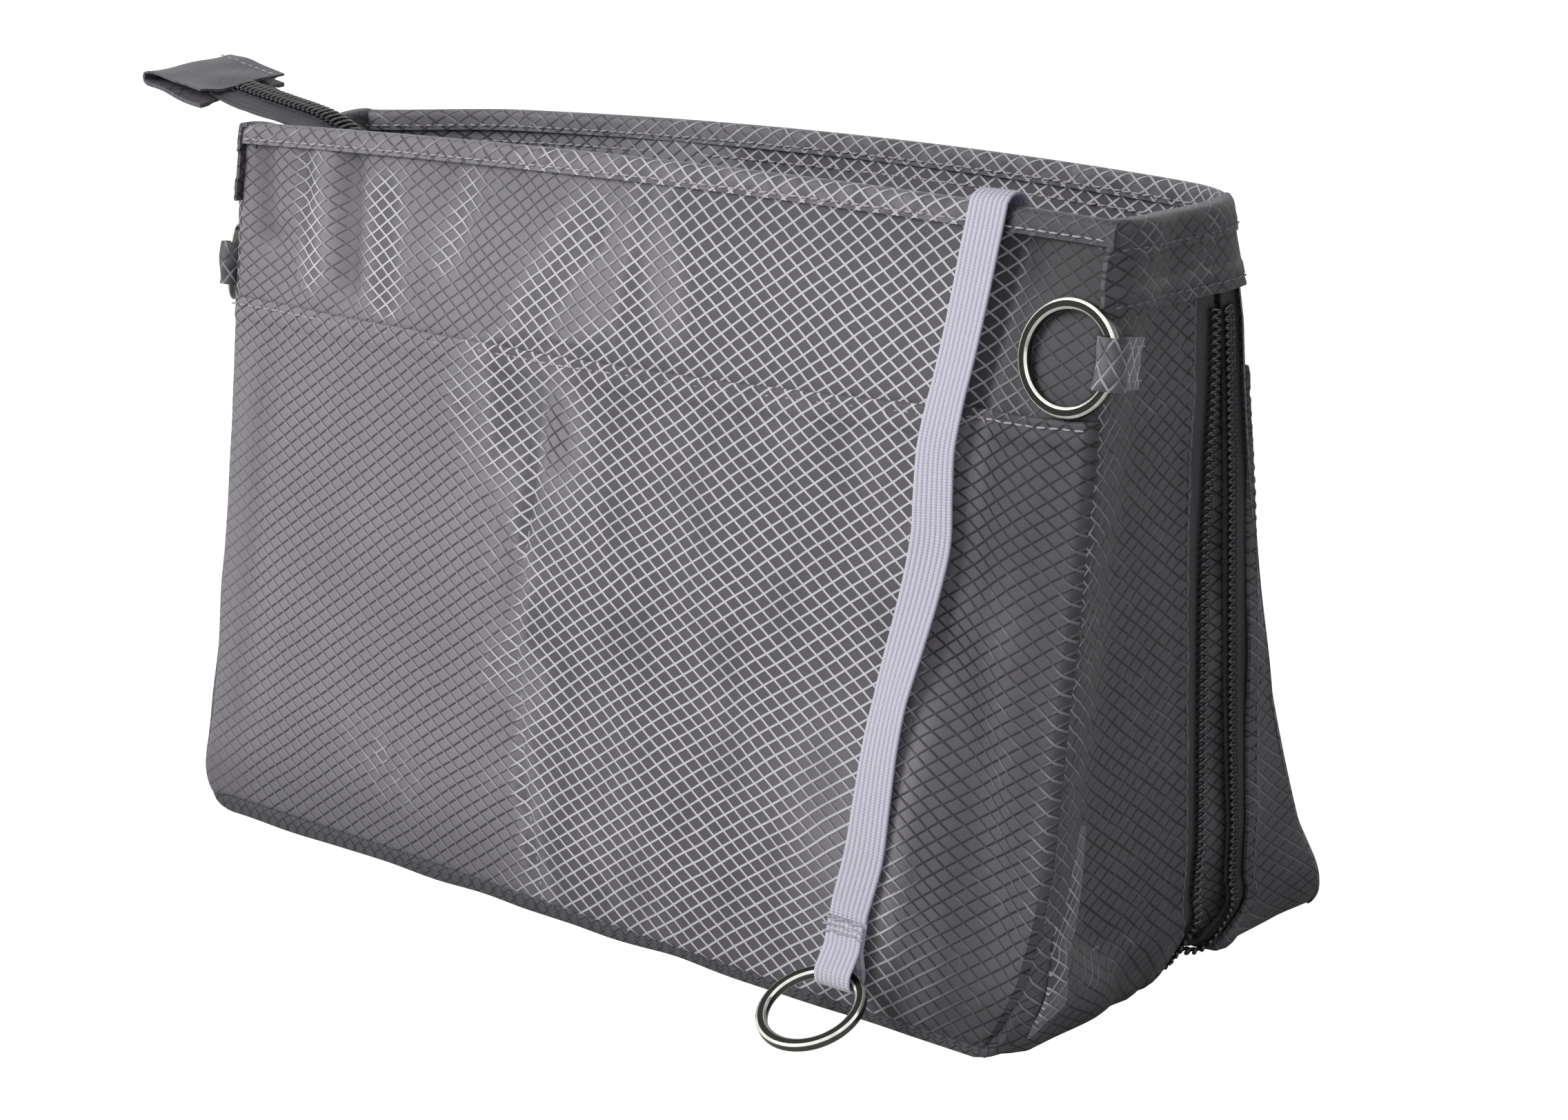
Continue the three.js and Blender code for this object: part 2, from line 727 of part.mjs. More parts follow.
// Key strap over the rim, from its anchor inside the front wall: x, height above the rim, depth into the wall
const strapOverRim = [
  [104, -9.3, 3.41],
  [104, -7.5, 3.97],
  [104, -5.5, 4.59],
  [104, -2.3, 4.89],
  [104, 0.9, 5.06],
  [104, 2.7, 4.66],
  [104, 3.9, 3.16],
  [104, 4.3, 1.26],
  [104, 3.9, -0.64],
  [104, 2.7, -2.24],
  [103.9, 0.9, -2.75],
  [103.7, -2.3, -3.02],
  [103.4, -6.5, -3.24],
];

// Key strap down the front to the fold with the key ring: x, share of the way up to the rim, depth
const strapDownFront = [
  [102.2, 0.8793, -3.14],
  [100.9, 0.801, -3.36],
  [99.4, 0.7293, -3.59],
  [98.6, 0.6771, -3.58],
  [99.2, 0.6119, -3.46],
  [99.9, 0.5532, -3.37],
  [98.8, 0.4879, -3.33],
  [96.4, 0.4097, -3.2],
  [93.9, 0.3314, -3.24],
  [92.3, 0.2531, -3.36],
  [91.6, 0.1748, -3.46],
  [90.8, 0.0965, -3.42],
  [88.9, 0.0378, -3.21],
  [88.1, 0.015, -3.1],
  [88, 0, -3.3],
];

const strapPlace = (x, z, depth) => vec(x, frontWall.place(x, Math.min(z, height), depth).y, z);
const strapRoute = [
  ...strapOverRim.map(([x, above, depth]) => strapPlace(x, height + above, depth)),
  ...strapDownFront.map(([x, share, depth]) => strapPlace(x, mix(strapLowEnd, height, share), depth)),
];

// A flat section of eight sides, drawn along the route.
function keyStrap() {
  const route = new THREE.CatmullRomCurve3(strapRoute, false, 'centripetal');
  const half = strapWidth / 2;
  const thick = strapThick / 2;
  const round = thick / 2;
  const shape = new THREE.Shape();
  shape.moveTo(-half, -round);
  shape.lineTo(-half + round, -thick);
  shape.lineTo(half - round, -thick);
  shape.lineTo(half, -round);
  shape.lineTo(half, round);
  shape.lineTo(half - round, thick);
  shape.lineTo(-half + round, thick);
  shape.lineTo(-half, round);
  shape.closePath();
  const steps = Math.round(route.getLength() / strapStepLength);
  return new THREE.ExtrudeGeometry(shape, { steps, bevelEnabled: false, extrudePath: route });
}

function strapAnchor() {
  const half = strapWidth / 2 + anchorMargin;
  const row = (z, depth) => [strapX - half, strapX + half].map((x) => frontWall.place(x, z, depth));
  const heights = [anchorBottom, foamFadeStart, anchorTop];
  const face = (depth) => heights.map((z) => row(z, liningInner(z) + depth));
  return sheetSolid(face(gap), face(gap + anchorThick));
}

const keyRadius = ringRadius(keyRingOuter);
const keyLean = degrees(keyRingLean);
const keyTowards = vec(0, -Math.cos(keyLean), -Math.sin(keyLean));
const keyDrop = (keyRadius + hingeReach(keyRadius, strapWidth)) * Math.sin(keyLean) + wire / 2;
const keyAxis = vec(strapFoldX, strapFoldY, keyRingLift + keyDrop);

function strapFold() {
  const half = strapFoldThick / 2;
  const eye = eyeRadius(keyRadius, strapWidth);
  const stem = [[-half, half, eye + 2 * strapFoldCloth], [-half, half, strapFoldLength]];
  const geometry = slab(loopShape(eye, strapFoldCloth, strapFoldStart, strapFoldEnd, stem), strapWidth);
  const tilt = degrees(strapFoldTilt);
  const up = vec(0, Math.sin(tilt), Math.cos(tilt));
  const across = vec(0, Math.cos(tilt), -Math.sin(tilt));
  return place(geometry, across, up, across.clone().cross(up), keyAxis);
}

addPiece('key_strap_anchor', strapAnchor(), ripstop);
addPiece('key_strap', keyStrap(), elasticCloth);
addPiece('key_strap_fold', strapFold(), elasticCloth);
addPiece('key_ring', ringIn(keyRingOuter, strapWidth, keyAxis, vec(1, 0, 0), keyTowards), nickel);

// Recessed top zip

// How far open the rows are along the bag: shut at the tail, open past the leads.
function openShare(x) {
  const t = clamp((x - topZipStart) / (topZipLeadEnd - topZipStart), 0, 1);
  return t * t * (3 - 2 * t);
}

const rowY = (side, x, out) => topZipY + side * (out + topZipOpen * openShare(x));

function topTape(side, from, to, steps) {
  const face = (z) => {
    const rows = [];
    for (let i = 0; i <= steps; i += 1) {
      const x = mix(from, to, i / steps);
      rows.push([topTapeEdge, topTapeEdge + topTapeWidth].map((out) => vec(x, rowY(side, x, out), z)));
    }
    return rows;
  };
  return sheetSolid(face(topZipZ + topTapeCloth / 2), face(topZipZ - topTapeCloth / 2));
}

function topCoil(side, from, to, lift) {
  const steps = Math.round((2 * (to - from)) / topCoilPitch);
  const low = topZipZ + topTapeCloth / 2 + lift;
  const rings = [];
  for (let i = 0; i <= steps; i += 1) {
    const x = mix(from, to, i / steps);
    const half = (i % 2 ? topCoilWidth : topCoilWaist) / 2;
    const y = rowY(side, x, topCoilEdge + topCoilWidth / 2);
    const middle = low + topCoilHeight / 2;
    rings.push([
      vec(x, y - half, middle), vec(x, y, low), vec(x, y + half, middle), vec(x, y, low + topCoilHeight),
    ]);
  }
  return ringLoft(rings);
}

// Two faces of a cloth whose middle line across is given as y and z.
function clothFaces(line, thickness) {
  const faces = [[], []];
  line.forEach(([y, z], i) => {
    const [py, pz] = line[Math.max(0, i - 1)];
    const [ny, nz] = line[Math.min(line.length - 1, i + 1)];
    const length = Math.hypot(ny - py, nz - pz);
    const offset = [(-(nz - pz) / length) * (thickness / 2), ((ny - py) / length) * (thickness / 2)];
    faces[0].push([y + offset[0], z + offset[1]]);
    faces[1].push([y - offset[0], z - offset[1]]);
  });
  return faces;
}

// A flap hangs from the lining, turns up and laps under its tape. Its line across starts at the wall.
function topFlap(side, wall) {
  const grids = [[], []];
  const under = topZipZ - topTapeCloth / 2 - gap - flapCloth / 2;
  for (let i = 0; i <= flapSteps; i += 1) {
    const x = mix(flapStart, flapEnd, i / flapSteps);
    const seam = side * wall.place(x, under, liningInner(under) + gap + flapCloth / 2).y;
    const lap = side * rowY(side, x, topTapeEdge + topTapeWidth);
    const line = [
      [side * seam, under - gap],
      [side * seam, under - flapDroop / 2],
      [side * (seam - flapFold / 2), under - flapDroop],
      [side * (seam - flapFold), under - flapDroop / 2],
      [side * Math.min(lap, seam - flapFold - gap), under],
      [side * (lap - flapLap), under],
    ];
    clothFaces(line, flapCloth).forEach((face, k) => grids[k].push(face.map(([y, z]) => vec(x, y, z))));
  }
  return sheetSolid(grids[0], grids[1]);
}

for (const [prefix, side, wall] of [['front', -1, frontWall], ['back', 1, backWall]]) {
  addPiece(`top_zip_${prefix}_tape`, topTape(side, topZipLeadEnd, topZipEnd, 1), zipTapeCloth);
  addPiece(`top_zip_${prefix}_coil`, topCoil(side, topZipLeadEnd, topZipEnd, gap), zipCoilPlastic);
  const leadEnd = topZipLeadEnd - gap;
  const leadTape = topTape(side, topZipStart, leadEnd, leadSteps);
  const leadCoil = topCoil(side, topZipStart, leadEnd, -gap / 2);
  addPiece(`top_zip_${prefix}_lead`, fuse(leadTape, leadCoil), zipTapeCloth);
  addPiece(`top_zip_${prefix}_flap`, topFlap(side, wall), ripstop);
}

// Tail of the top zip: its ridge runs from the leads over the left rim to the folded tab.
// Each place is the distance inside the left rim, y, and the height above the rim.
const tailRoute = [
  [36.3, -11, -22.4],
  [32.2, -11.3, -20.7],
  [27.5, -11.8, -16.5],
  [22.5, -12.4, -11.3],
  [17, -13, -6.3],
  [11.5, -13.6, -2.1],
  [6, -14.2, 0.4],
  [0, -14.6, 1.8],
  [-6.5, -14.9, 2.9],
  [-14.5, -15, 4.2],
  [-22.5, -15, 5.5],
  [-26.7, -15, 6.3],
  [-29.7, -15, 6.85],
].map(([inside, y, above]) => vec(inside - rimHalf, y, height + above));

// Frames along the tail: across it, and up from its face. It rolls a little towards the tab.
function tailFrames(route) {
  return route.map((point, i) => {
    const ahead = route[Math.min(route.length - 1, i + 1)].clone().sub(route[Math.max(0, i - 1)]).normalize();
    const roll = degrees(tailTabTilt) * clamp((i - route.length / 2) / (route.length / 2 - 2), 0, 1);
    const across = vec(0, Math.cos(roll), Math.sin(roll));
    const up = across.clone().cross(ahead).normalize();
    return { point, across, up: up.z < 0 ? up.negate() : up };
  });
}

function tailTape() {
  const shares = [-1, -0.5, 0, 0.5, 1];
  const fall = (i, count) => clamp(Math.min(i, count - 1 - i) / 3, 0, 1);
  const face = (offset) => tailFrames(tailRoute).map(({ point, across, up }, i) => shares.map((share) => (
    point.clone()
      .addScaledVector(across, share * tailHalfWidth)
      .addScaledVector(up, offset - tailRise * Math.abs(share) * fall(i, tailRoute.length)))));
  return sheetSolid(face(tailCloth / 2), face(-tailCloth / 2));
}

function tailChain() {
  const spine = new THREE.CatmullRomCurve3(tailRoute.slice(0, -2));
  const steps = Math.round((2 * spine.getLength()) / topCoilPitch);
  const points = spine.getSpacedPoints(steps);
  const rings = tailFrames(points).map(({ point, across, up }, i) => {
    const half = (i % 2 ? tailChainWidth : tailChainWaist) / 2;
    const low = tailCloth / 2 + gap;
    const at = (out, rise) => point.clone().addScaledVector(across, out).addScaledVector(up, low + rise);
    return [
      at(-half, 0), at(half, 0), at(half, tailChainHeight / 2), at(half / 2, tailChainHeight),
      at(-half / 2, tailChainHeight), at(-half, tailChainHeight / 2),
    ];
  });
  return ringLoft(rings);
}

// The tab is a strip folded over the tail's end, open at both sides.
function tailTab() {
  const half = tailTabLength / 2;
  const thick = tailTabThick / 2;
  const hollow = thick - tailTabCloth;
  const shape = new THREE.Shape();
  shape.moveTo(half, thick);
  shape.lineTo(-half + thick, thick);
  shape.absarc(-half + thick, 0, thick, Math.PI / 2, (3 / 2) * Math.PI, false);
  shape.lineTo(half, -thick);
  shape.lineTo(half, -hollow);
  shape.lineTo(-half + thick, -hollow);
  shape.absarc(-half + thick, 0, hollow, (3 / 2) * Math.PI, Math.PI / 2, true);
  shape.lineTo(half, hollow);
  shape.closePath();
  const geometry = slab(shape, tailTabWidth);
  const fall = degrees(tailTabFall);
  const tilt = degrees(tailTabTilt);
  const along = vec(Math.cos(fall), 0, -Math.sin(fall));
  const back = vec(0, Math.cos(tilt), Math.sin(tilt)).projectOnPlane(along).normalize();
  const up = along.clone().cross(back);
  return place(geometry, along, up, along.clone().cross(up), vec(tailTabX, tailTabY, tailTabZ));
}

addPiece('top_zip_tail_tape', tailTape(), zipTapeCloth);
addPiece('top_zip_tail_chain', tailChain(), zipCoilPlastic);
addPiece('top_zip_tail_tab', tailTab(), ripstop);

// Sliders: drawn with x along their travel, z away from the zip and z = 0 on the coil's crown

function sliderPlateShape() {
  const shape = new THREE.Shape();
  const half = sliderLength / 2;
  const wide = sliderWidth / 2;
  const neck = sliderNeck / 2;
  shape.moveTo(-half, -neck + sliderCorner);
  shape.quadraticCurveTo(-half, -neck, -half + sliderCorner, -neck);
  shape.lineTo(half - 2 * sliderCorner, -wide);
  shape.quadraticCurveTo(half, -wide, half, -wide + 2 * sliderCorner);
  shape.lineTo(half, wide - 2 * sliderCorner);
  shape.quadraticCurveTo(half, wide, half - 2 * sliderCorner, wide);
  shape.lineTo(-half + sliderCorner, neck);
  shape.quadraticCurveTo(-half, neck, -half, neck - sliderCorner);
  shape.closePath();
  return shape;
}

function bailShape() {
  const shape = new THREE.Shape();
  shape.moveTo(bailOuter, -bailLeg - sliderPlate / 2);
  shape.lineTo(bailOuter, 0);
  shape.absarc(0, 0, bailOuter, 0, Math.PI, false);
  shape.lineTo(-bailOuter, -bailLeg - sliderPlate / 2);
  shape.lineTo(-bailInner, -bailLeg - sliderPlate / 2);
  shape.lineTo(-bailInner, 0);
  shape.absarc(0, 0, bailInner, Math.PI, 0, true);
  shape.lineTo(bailInner, -bailLeg - sliderPlate / 2);
  shape.closePath();
  return shape;
}

// A slider whose plates stand clear of the coil's crown and of the tape's back, which lies at a depth.
function slider(tapeBack) {
  const upper = slab(sliderPlateShape(), sliderPlate, 4);
  const lower = upper.clone();
  upper.translate(0, 0, slideGap + sliderPlate / 2);
  lower.translate(0, 0, -tapeBack - slideGap - sliderPlate / 2);
  const postHeight = tapeBack + 2 * slideGap + sliderPlate;
  const post = new THREE.BoxGeometry(sliderPostLength, sliderPost, postHeight);
  post.translate(sliderPostLength, 0, -tapeBack / 2);
  const bail = slab(bailShape(), bailThick, 8).rotateX(Math.PI / 2);
  bail.translate(0, 0, slideGap + sliderPlate + bailLeg);
  return fuse(upper, lower, post, bail);
}

// The pull lies along +x from its eye, which runs on the bail.
function sliderPull() {
  const eyeX = (bailInner + bailOuter) / 2;
  const eyeOuter = pullEye + pullEyeWall;
  const half = pullWidth / 2;
  const shape = new THREE.Shape();
  shape.absarc(eyeX, 0, eyeOuter, Math.PI / 2, (3 / 2) * Math.PI, false);
  shape.lineTo(eyeX + 2 * eyeOuter, -half);
  shape.lineTo(pullLength - half, -half);
  shape.absarc(pullLength - half, 0, half, -Math.PI / 2, Math.PI / 2, false);
  shape.lineTo(eyeX + 2 * eyeOuter, half);
  shape.closePath();
  const eye = new THREE.Path();
  eye.absarc(eyeX, 0, pullEye, 0, 2 * Math.PI, true);
  const window = new THREE.Path();
  const end = pullLength - half;
  const round = pullWindowWidth / 2;
  window.absarc(end, 0, round, Math.PI / 2, -Math.PI / 2, true);
  window.lineTo(end - pullWindowLength, -round);
  window.absarc(end - pullWindowLength, 0, round, -Math.PI / 2, Math.PI / 2, true);
  window.closePath();
  shape.holes.push(eye, window);
  const geometry = slab(shape, pullThick, 5);
  return geometry.translate(0, 0, slideGap + sliderPlate + bailLeg);
}

const coilCrown = topZipZ + topTapeCloth / 2 + gap + topCoilHeight;
const topSliderPlace = [vec(1, 0, 0), vec(0, 1, 0), vec(0, 0, 1), vec(topSliderX, topZipY, coilCrown)];
const topTapeBack = gap + topCoilHeight + topTapeCloth;
addPiece('top_zip_slider', place(slider(topTapeBack), ...topSliderPlace), sliderMetal);
addPiece('top_zip_pull', place(sliderPull(), ...topSliderPlace), sliderMetal);

// The expansion slider is parked at the top of the left rows and travels down between them.
const closedShift = (z) => Math.tan(degrees(expansionClose)) * (hingeZ - z);
const rowsMiddle = (z, shut) => (frontCoilY(z) + backCoilY(z) - shut * closedShift(z)) / 2;
const rowsPlace = (z, shut) => vec(coilInset - halfLength(z) - bow(backRimY, z), rowsMiddle(z, shut), z);
const parkedPlace = rowsPlace(expansionSliderZ, 0);
const travel = rowsPlace(sliderTravelEndZ, 1).sub(parkedPlace).normalize();
const leftOutwards = vec(-1, 0, 0).projectOnPlane(travel).normalize();
const expansionSliderPlace = [travel, leftOutwards.clone().cross(travel), leftOutwards, parkedPlace];
const expansionTapeBack = tapeInset + tapeCloth - coilInset;
addPiece('expansion_slider', place(slider(expansionTapeBack), ...expansionSliderPlace), sliderMetal);
addPiece('expansion_pull', place(sliderPull(), ...expansionSliderPlace), sliderMetal);

export default organizer;
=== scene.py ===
"""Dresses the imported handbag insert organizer: cloth walls, zips, straps, rings and stitching."""

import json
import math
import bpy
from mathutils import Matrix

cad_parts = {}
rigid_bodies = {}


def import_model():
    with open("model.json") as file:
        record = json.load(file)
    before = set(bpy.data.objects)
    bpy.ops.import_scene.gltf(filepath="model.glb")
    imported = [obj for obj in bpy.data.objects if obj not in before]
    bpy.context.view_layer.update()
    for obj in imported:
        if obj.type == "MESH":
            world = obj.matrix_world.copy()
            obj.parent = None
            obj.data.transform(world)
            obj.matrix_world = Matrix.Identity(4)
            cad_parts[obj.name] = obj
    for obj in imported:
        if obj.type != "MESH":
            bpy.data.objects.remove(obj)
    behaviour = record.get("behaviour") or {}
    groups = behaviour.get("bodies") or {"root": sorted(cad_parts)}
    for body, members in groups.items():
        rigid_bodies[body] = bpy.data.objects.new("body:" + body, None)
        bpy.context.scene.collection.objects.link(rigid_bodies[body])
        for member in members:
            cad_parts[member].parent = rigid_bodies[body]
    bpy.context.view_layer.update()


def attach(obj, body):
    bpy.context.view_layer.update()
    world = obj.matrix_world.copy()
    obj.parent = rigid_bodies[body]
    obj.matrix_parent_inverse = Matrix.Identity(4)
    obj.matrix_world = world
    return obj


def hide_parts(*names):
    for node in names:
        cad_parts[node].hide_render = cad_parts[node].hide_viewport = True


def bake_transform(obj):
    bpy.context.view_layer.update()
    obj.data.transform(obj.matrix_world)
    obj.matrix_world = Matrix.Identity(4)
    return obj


bl_info = {
    "name": "Handbag Insert Organizer",
    "version": (1, 0, 0),
    "blender": (4, 5, 0),
    "location": "View3D > Sidebar > Organizer",
    "description": "Makes the cloth, zips, strap, rings and stitching of a handbag insert organizer",
    "category": "Add Mesh",
}

import bpy
import numpy as np
from bpy.props import FloatProperty, FloatVectorProperty, IntProperty, PointerProperty
from mathutils import Vector

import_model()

MM = 0.001

# The bag's form, in millimetres: X along the bag, -Y its front, Z up
HEIGHT, BASE_HALF, RIM_HALF, CORNER = 176.5, 137.0, 135.5, 17.0
FRONT_BASE_Y, FRONT_RIM_Y, BACK_BASE_Y, BACK_RIM_Y = -63.0, -37.0, 63.0, 17.5
END_BOW, END_BOW_RUN, BAND_BOW = 1.5, 12.0, 1.5
CLOTH, GAP, FOAM = 0.8, 0.3, 1.8
WALL_FOOT, FOAM_TOP, GUSSET_TOP = 2.2, 167.0, 171.0
HEM_SEEN, BAND_BOTTOM = 4.0, 158.0
BAND_STAND, BAND_DIP = {1: 1.4, -1: 0.2}, {1: 0.5, -1: 3.5}
ZIP_TOP, TAPE_TOP = 153.0, 170.0
TOP_ZIP_Z, TOP_ZIP_Y = 154.0, -11.0
ZIP_START, LEAD_END, ZIP_END, ZIP_OPEN = -98.0, -46.0, 108.0, 11.5
# Heights of the sewn rows
RIM_SEAM, BAND_SEAM, LINING_SEAM, POCKET_SEAM = 173.7, 171.9, 169.6, 132.2

# Key strap, from its anchor inside the front wall over the rim and down to the ring
STRAP_ROUTE = [
    (104, -33.7, 167.2), (104, -32.8, 169), (104, -31.8, 171), (104, -30.9, 174.2), (104, -30.3, 177.4),
    (104, -30.7, 179.2), (104, -32.2, 180.4), (104, -34.1, 180.8), (104, -36, 180.4), (104, -37.6, 179.2),
    (103.9, -38.1, 177.4), (103.7, -38.8, 174.2), (103.4, -39.8, 170), (102.2, -41.9, 158),
    (100.9, -44.3, 146), (99.4, -46.5, 135), (98.6, -47.9, 127), (99.2, -49.5, 117), (99.9, -50.9, 108),
    (98.8, -52.5, 98), (96.4, -54.3, 86), (93.9, -56.2, 74), (92.3, -58.1, 62), (91.6, -59.9, 50),
    (90.8, -61.5, 38), (88.9, -62.5, 29), (88.1, -62.85, 25.5), (88, -63.35, 23.2),
]
TAIL_ROUTE = [
    (-99.2, -11, 154.1), (-103.3, -11.3, 155.8), (-108, -11.8, 160), (-113, -12.4, 165.2),
    (-118.5, -13, 170.2), (-124, -13.6, 174.4), (-129.5, -14.2, 176.9), (-135.5, -14.6, 178.3),
    (-142, -14.9, 179.4), (-150, -15, 180.7), (-158, -15, 182), (-162.2, -15, 182.8), (-165.2, -15, 183.35),
]
# Two places, towards the front half and towards the back half, handed with the end bands
BAND_GIVE = (0, -0.013, 0), (0, 0.0165, 0)
KEY_AXIS = np.array([88.0, -66.2, 10.956])
RIGHT_AXIS = np.array([139.448, -42.877, 149.5])
LEFT_AXIS = np.array([-140.560, -38.429, 141.0])
CORNER_LINE = np.array([0.0, 0.14574, 0.98932])
BACKWARDS = np.array([0.0, 0.98932, -0.14574])

# Finishes that more than one piece has. The lining's ripstop carries painted light: painted shading of 0.9 and grid
# lines painted lit.
INSIDE = "ripstop_inside", 0.9, (0.7, 0.6, 0.0)
GREY_THREAD, DIM_THREAD = ("grey_thread", (212, 208, 215)), ("dim_thread", (146, 142, 149))
COIL_THREAD, WHITE_THREAD = ("coil_thread", (84, 84, 90)), ("white_thread", (214, 213, 222))

# The front's folds: strength (mm out of the wall), both ends as x and z, and width
UPPER_FOLDS = (
    (-1.9, (-129, 175), (-125, 148), 4), (-1.3, (-114, 176), (-111, 158), 3), (-2.6, (-97, 174), (-92, 134), 4.2),
    (-1.5, (-121, 152), (-115, 135), 6), (-1.0, (-64, 172), (-50, 140), 6), (-0.6, (-40, 172), (-30, 150), 5),
    (1.0, (-105, 172), (-103, 140), 5), (0.7, (-80, 170), (-76, 140), 8), (0.5, (20, 168), (34, 142), 14))
STRAP_FOLDS = (
    (-2.4, (112, 176), (104, 134), 5.5), (-2.6, (106, 134), (109, 94), 6), (-2.8, (101, 92), (133, 16), 7.5),
    (0.9, (123, 166), (124, 110), 6), (1.3, (120, 90), (131, 40), 5), (-0.6, (70, 128), (84, 100), 8))
POCKET_FOLDS = ((0.5, (-112, 110), (-92, 30), 14), (-0.5, (-10, 30), (-32, 6), 4), (-0.4, (0, 26), (16, 8), 4))
# Painted light and shade on the front's grid: where its lines are painted brighter, washed out by painted glare, or
# painted in shade along folds
BRIGHT_BANDS = (
    (0.9, (-111, 172), (-106, 138), 5), (1, (-84, 168), (-78, 134), 7.5), (0.6, (-52, 172), (-62, 146), 5.5),
    (1, (-10, 168), (-31, 134), 8.5))
GLARE_FOLDS = ((0.5, (-129, 175), (-124, 146), 4), (0.5, (-97, 170), (-92, 134), 4))
SHADED_FOLDS = (
    (0.16, (-119, 125), (-121, 26), 5), (0.3, (-129, 175), (-125, 148), 4), (0.3, (-97, 174), (-92, 138), 4),
    (0.25, (-113, 176), (-111, 150), 3), (-0.1, (-104, 172), (-101, 140), 5), (-0.14, (118, 100), (124, 26), 6))
EDGE_GLEAM = (137, 120), (134, 34), 2.5


# Curves and numbers

def srgb(red, green, blue):
    """A colour on the screen's 0 to 255 scale as linear light."""
    return tuple((c / 255 / 12.92) if c <= 10 else ((c / 255 + 0.055) / 1.055) ** 2.4 for c in (red, green, blue))


def toned(colour, by):
    return srgb(*(min(255, c * by) for c in colour))


def mix(a, b, t):
    return a + (b - a) * t


def smooth(t):
    t = clip01(t)
    return t * t * (3 - 2 * t)


def unit(v):
    v = np.asarray(v, float)
    return v / np.linalg.norm(v, axis=-1, keepdims=True)


def clip01(v):
    return np.clip(v, 0, 1)


def lengths_along(points):
    steps = np.linalg.norm(np.diff(points, axis=0), axis=1)
    return np.concatenate([[0], np.cumsum(steps)])


def lengths_across(steps):
    """How far each point of a grid lies from its row's start, from the steps between them."""
    return np.concatenate([np.zeros((len(steps), 1)), np.cumsum(steps, axis=1)], axis=1)


def curve_through(points, step):
    """Points a step apart on a smooth curve through the given ones."""
    p = np.array(points, float)
    p = np.vstack([2 * p[0] - p[1], p, 2 * p[-1] - p[-2]])
    fine = [p[1]]
    for i in range(1, len(p) - 2):
        d = [max(np.linalg.norm(p[i + k] - p[i + k - 1]) ** 0.5, 1e-6) for k in range(3)]
        start = ((p[i] - p[i - 1]) / d[0] - (p[i + 1] - p[i - 1]) / (d[0] + d[1]) + (p[i + 1] - p[i]) / d[1]) * d[1]
        end = ((p[i + 1] - p[i]) / d[1] - (p[i + 2] - p[i]) / (d[1] + d[2]) + (p[i + 2] - p[i + 1]) / d[2]) * d[1]
        for t in np.linspace(0, 1, 13)[1:]:
            t2, t3 = t * t, t * t * t
            fine.append((2 * t3 - 3 * t2 + 1) * p[i] + (t3 - 2 * t2 + t) * start
                        + (3 * t2 - 2 * t3) * p[i + 1] + (t3 - t2) * end)
    fine = np.array(fine)
    run = lengths_along(fine)
    stops = np.linspace(0, run[-1], max(2, round(run[-1] / step)) + 1)
    return np.stack([np.interp(stops, run, fine[:, k]) for k in range(3)], axis=1)


def waves(u, v, seed, long_wave, count=7):
    """Soft uneven waves between about -1 and 1, the same on every run."""
    turn = np.random.RandomState(seed)
    total = 0
    for _ in range(count):
        way, phase = turn.uniform(0, math.pi), turn.uniform(0, 2 * math.pi)
        length = long_wave * turn.uniform(0.55, 1.5)
        total = total + np.sin(2 * math.pi * (u * math.cos(way) + v * math.sin(way)) / length + phase)
    return total / count ** 0.5 / 1.3


def blob(u, v, cu, cv, ru, rv, turn=0.0):
    c, s = math.cos(math.radians(turn)), math.sin(math.radians(turn))
    du, dv = u - cu, v - cv
    return np.exp(-(((du * c + dv * s) / ru) ** 2 + ((dv * c - du * s) / rv) ** 2))


def crease(u, v, a, b, width):
    """1 on the line from a to b, fading to its sides and ends."""
    run = np.hypot(b[0] - a[0], b[1] - a[1])
    t = ((u - a[0]) * (b[0] - a[0]) + (v - a[1]) * (b[1] - a[1])) / run ** 2
    off = ((u - a[0]) * (b[1] - a[1]) - (v - a[1]) * (b[0] - a[0])) / run
    return np.exp(-(off / width) ** 2) * smooth((t + 0.15) / 0.3) * smooth((1.15 - t) / 0.3)


def creases(u, v, table):
    """The sum of the creases in a table, each by its own strength."""
    return sum(strength * crease(u, v, *places) for strength, *places in table)


# The bag's form

def share(z):
    return clip01(z / HEIGHT)


def half_length(z):
    return mix(BASE_HALF, RIM_HALF, clip01((z - CORNER) / (HEIGHT - CORNER)))


def front_y(z):
    return mix(FRONT_BASE_Y, FRONT_RIM_Y, share(z))


def back_y(z):
    return BACK_RIM_Y + (BACK_BASE_Y - BACK_RIM_Y) * (1 - share(z)) ** 2


def half_width(z, inset):
    radius = CORNER - inset
    low = BASE_HALF - CORNER + np.sqrt(np.maximum(0, radius ** 2 - (CORNER - z) ** 2))
    return np.where(z >= CORNER, half_length(z) - inset, low)


def panel_half(x, z, inset):
    """The front panel's reach: drawn in from the ends' plain line, with a slanting corner at the right."""
    left = half_width(z, inset) - np.interp(z, [0, 5, 10, 17, 24, 42, 59, 85, 102, 111, 120, 128, 163, HEIGHT],
                                            [-1.5, 0.5, 2.2, 4.4, 5.2, 5.6, 4.9, 4.5, 4.0, 3.2, 2.4, 1.9, -0.4, -0.6])
    slant = np.interp(z, [0, 4, 8.3, 18, 31, 42], [124, 126.5, 128.8, 132.9, 135.4, 136.7]) - inset
    return np.where(x < 0, left, np.where(z < 42, slant, half_length(z) - inset))


def base_rise(x, z):
    """The front's bottom seam lies a little above the floor, most at the left."""
    return np.interp(x, [-137, -122, -60, 0, 60, 137], [1.6, 3.0, 2.7, 1.5, 0.6, 0.2]) * smooth((30 - z) / 28)


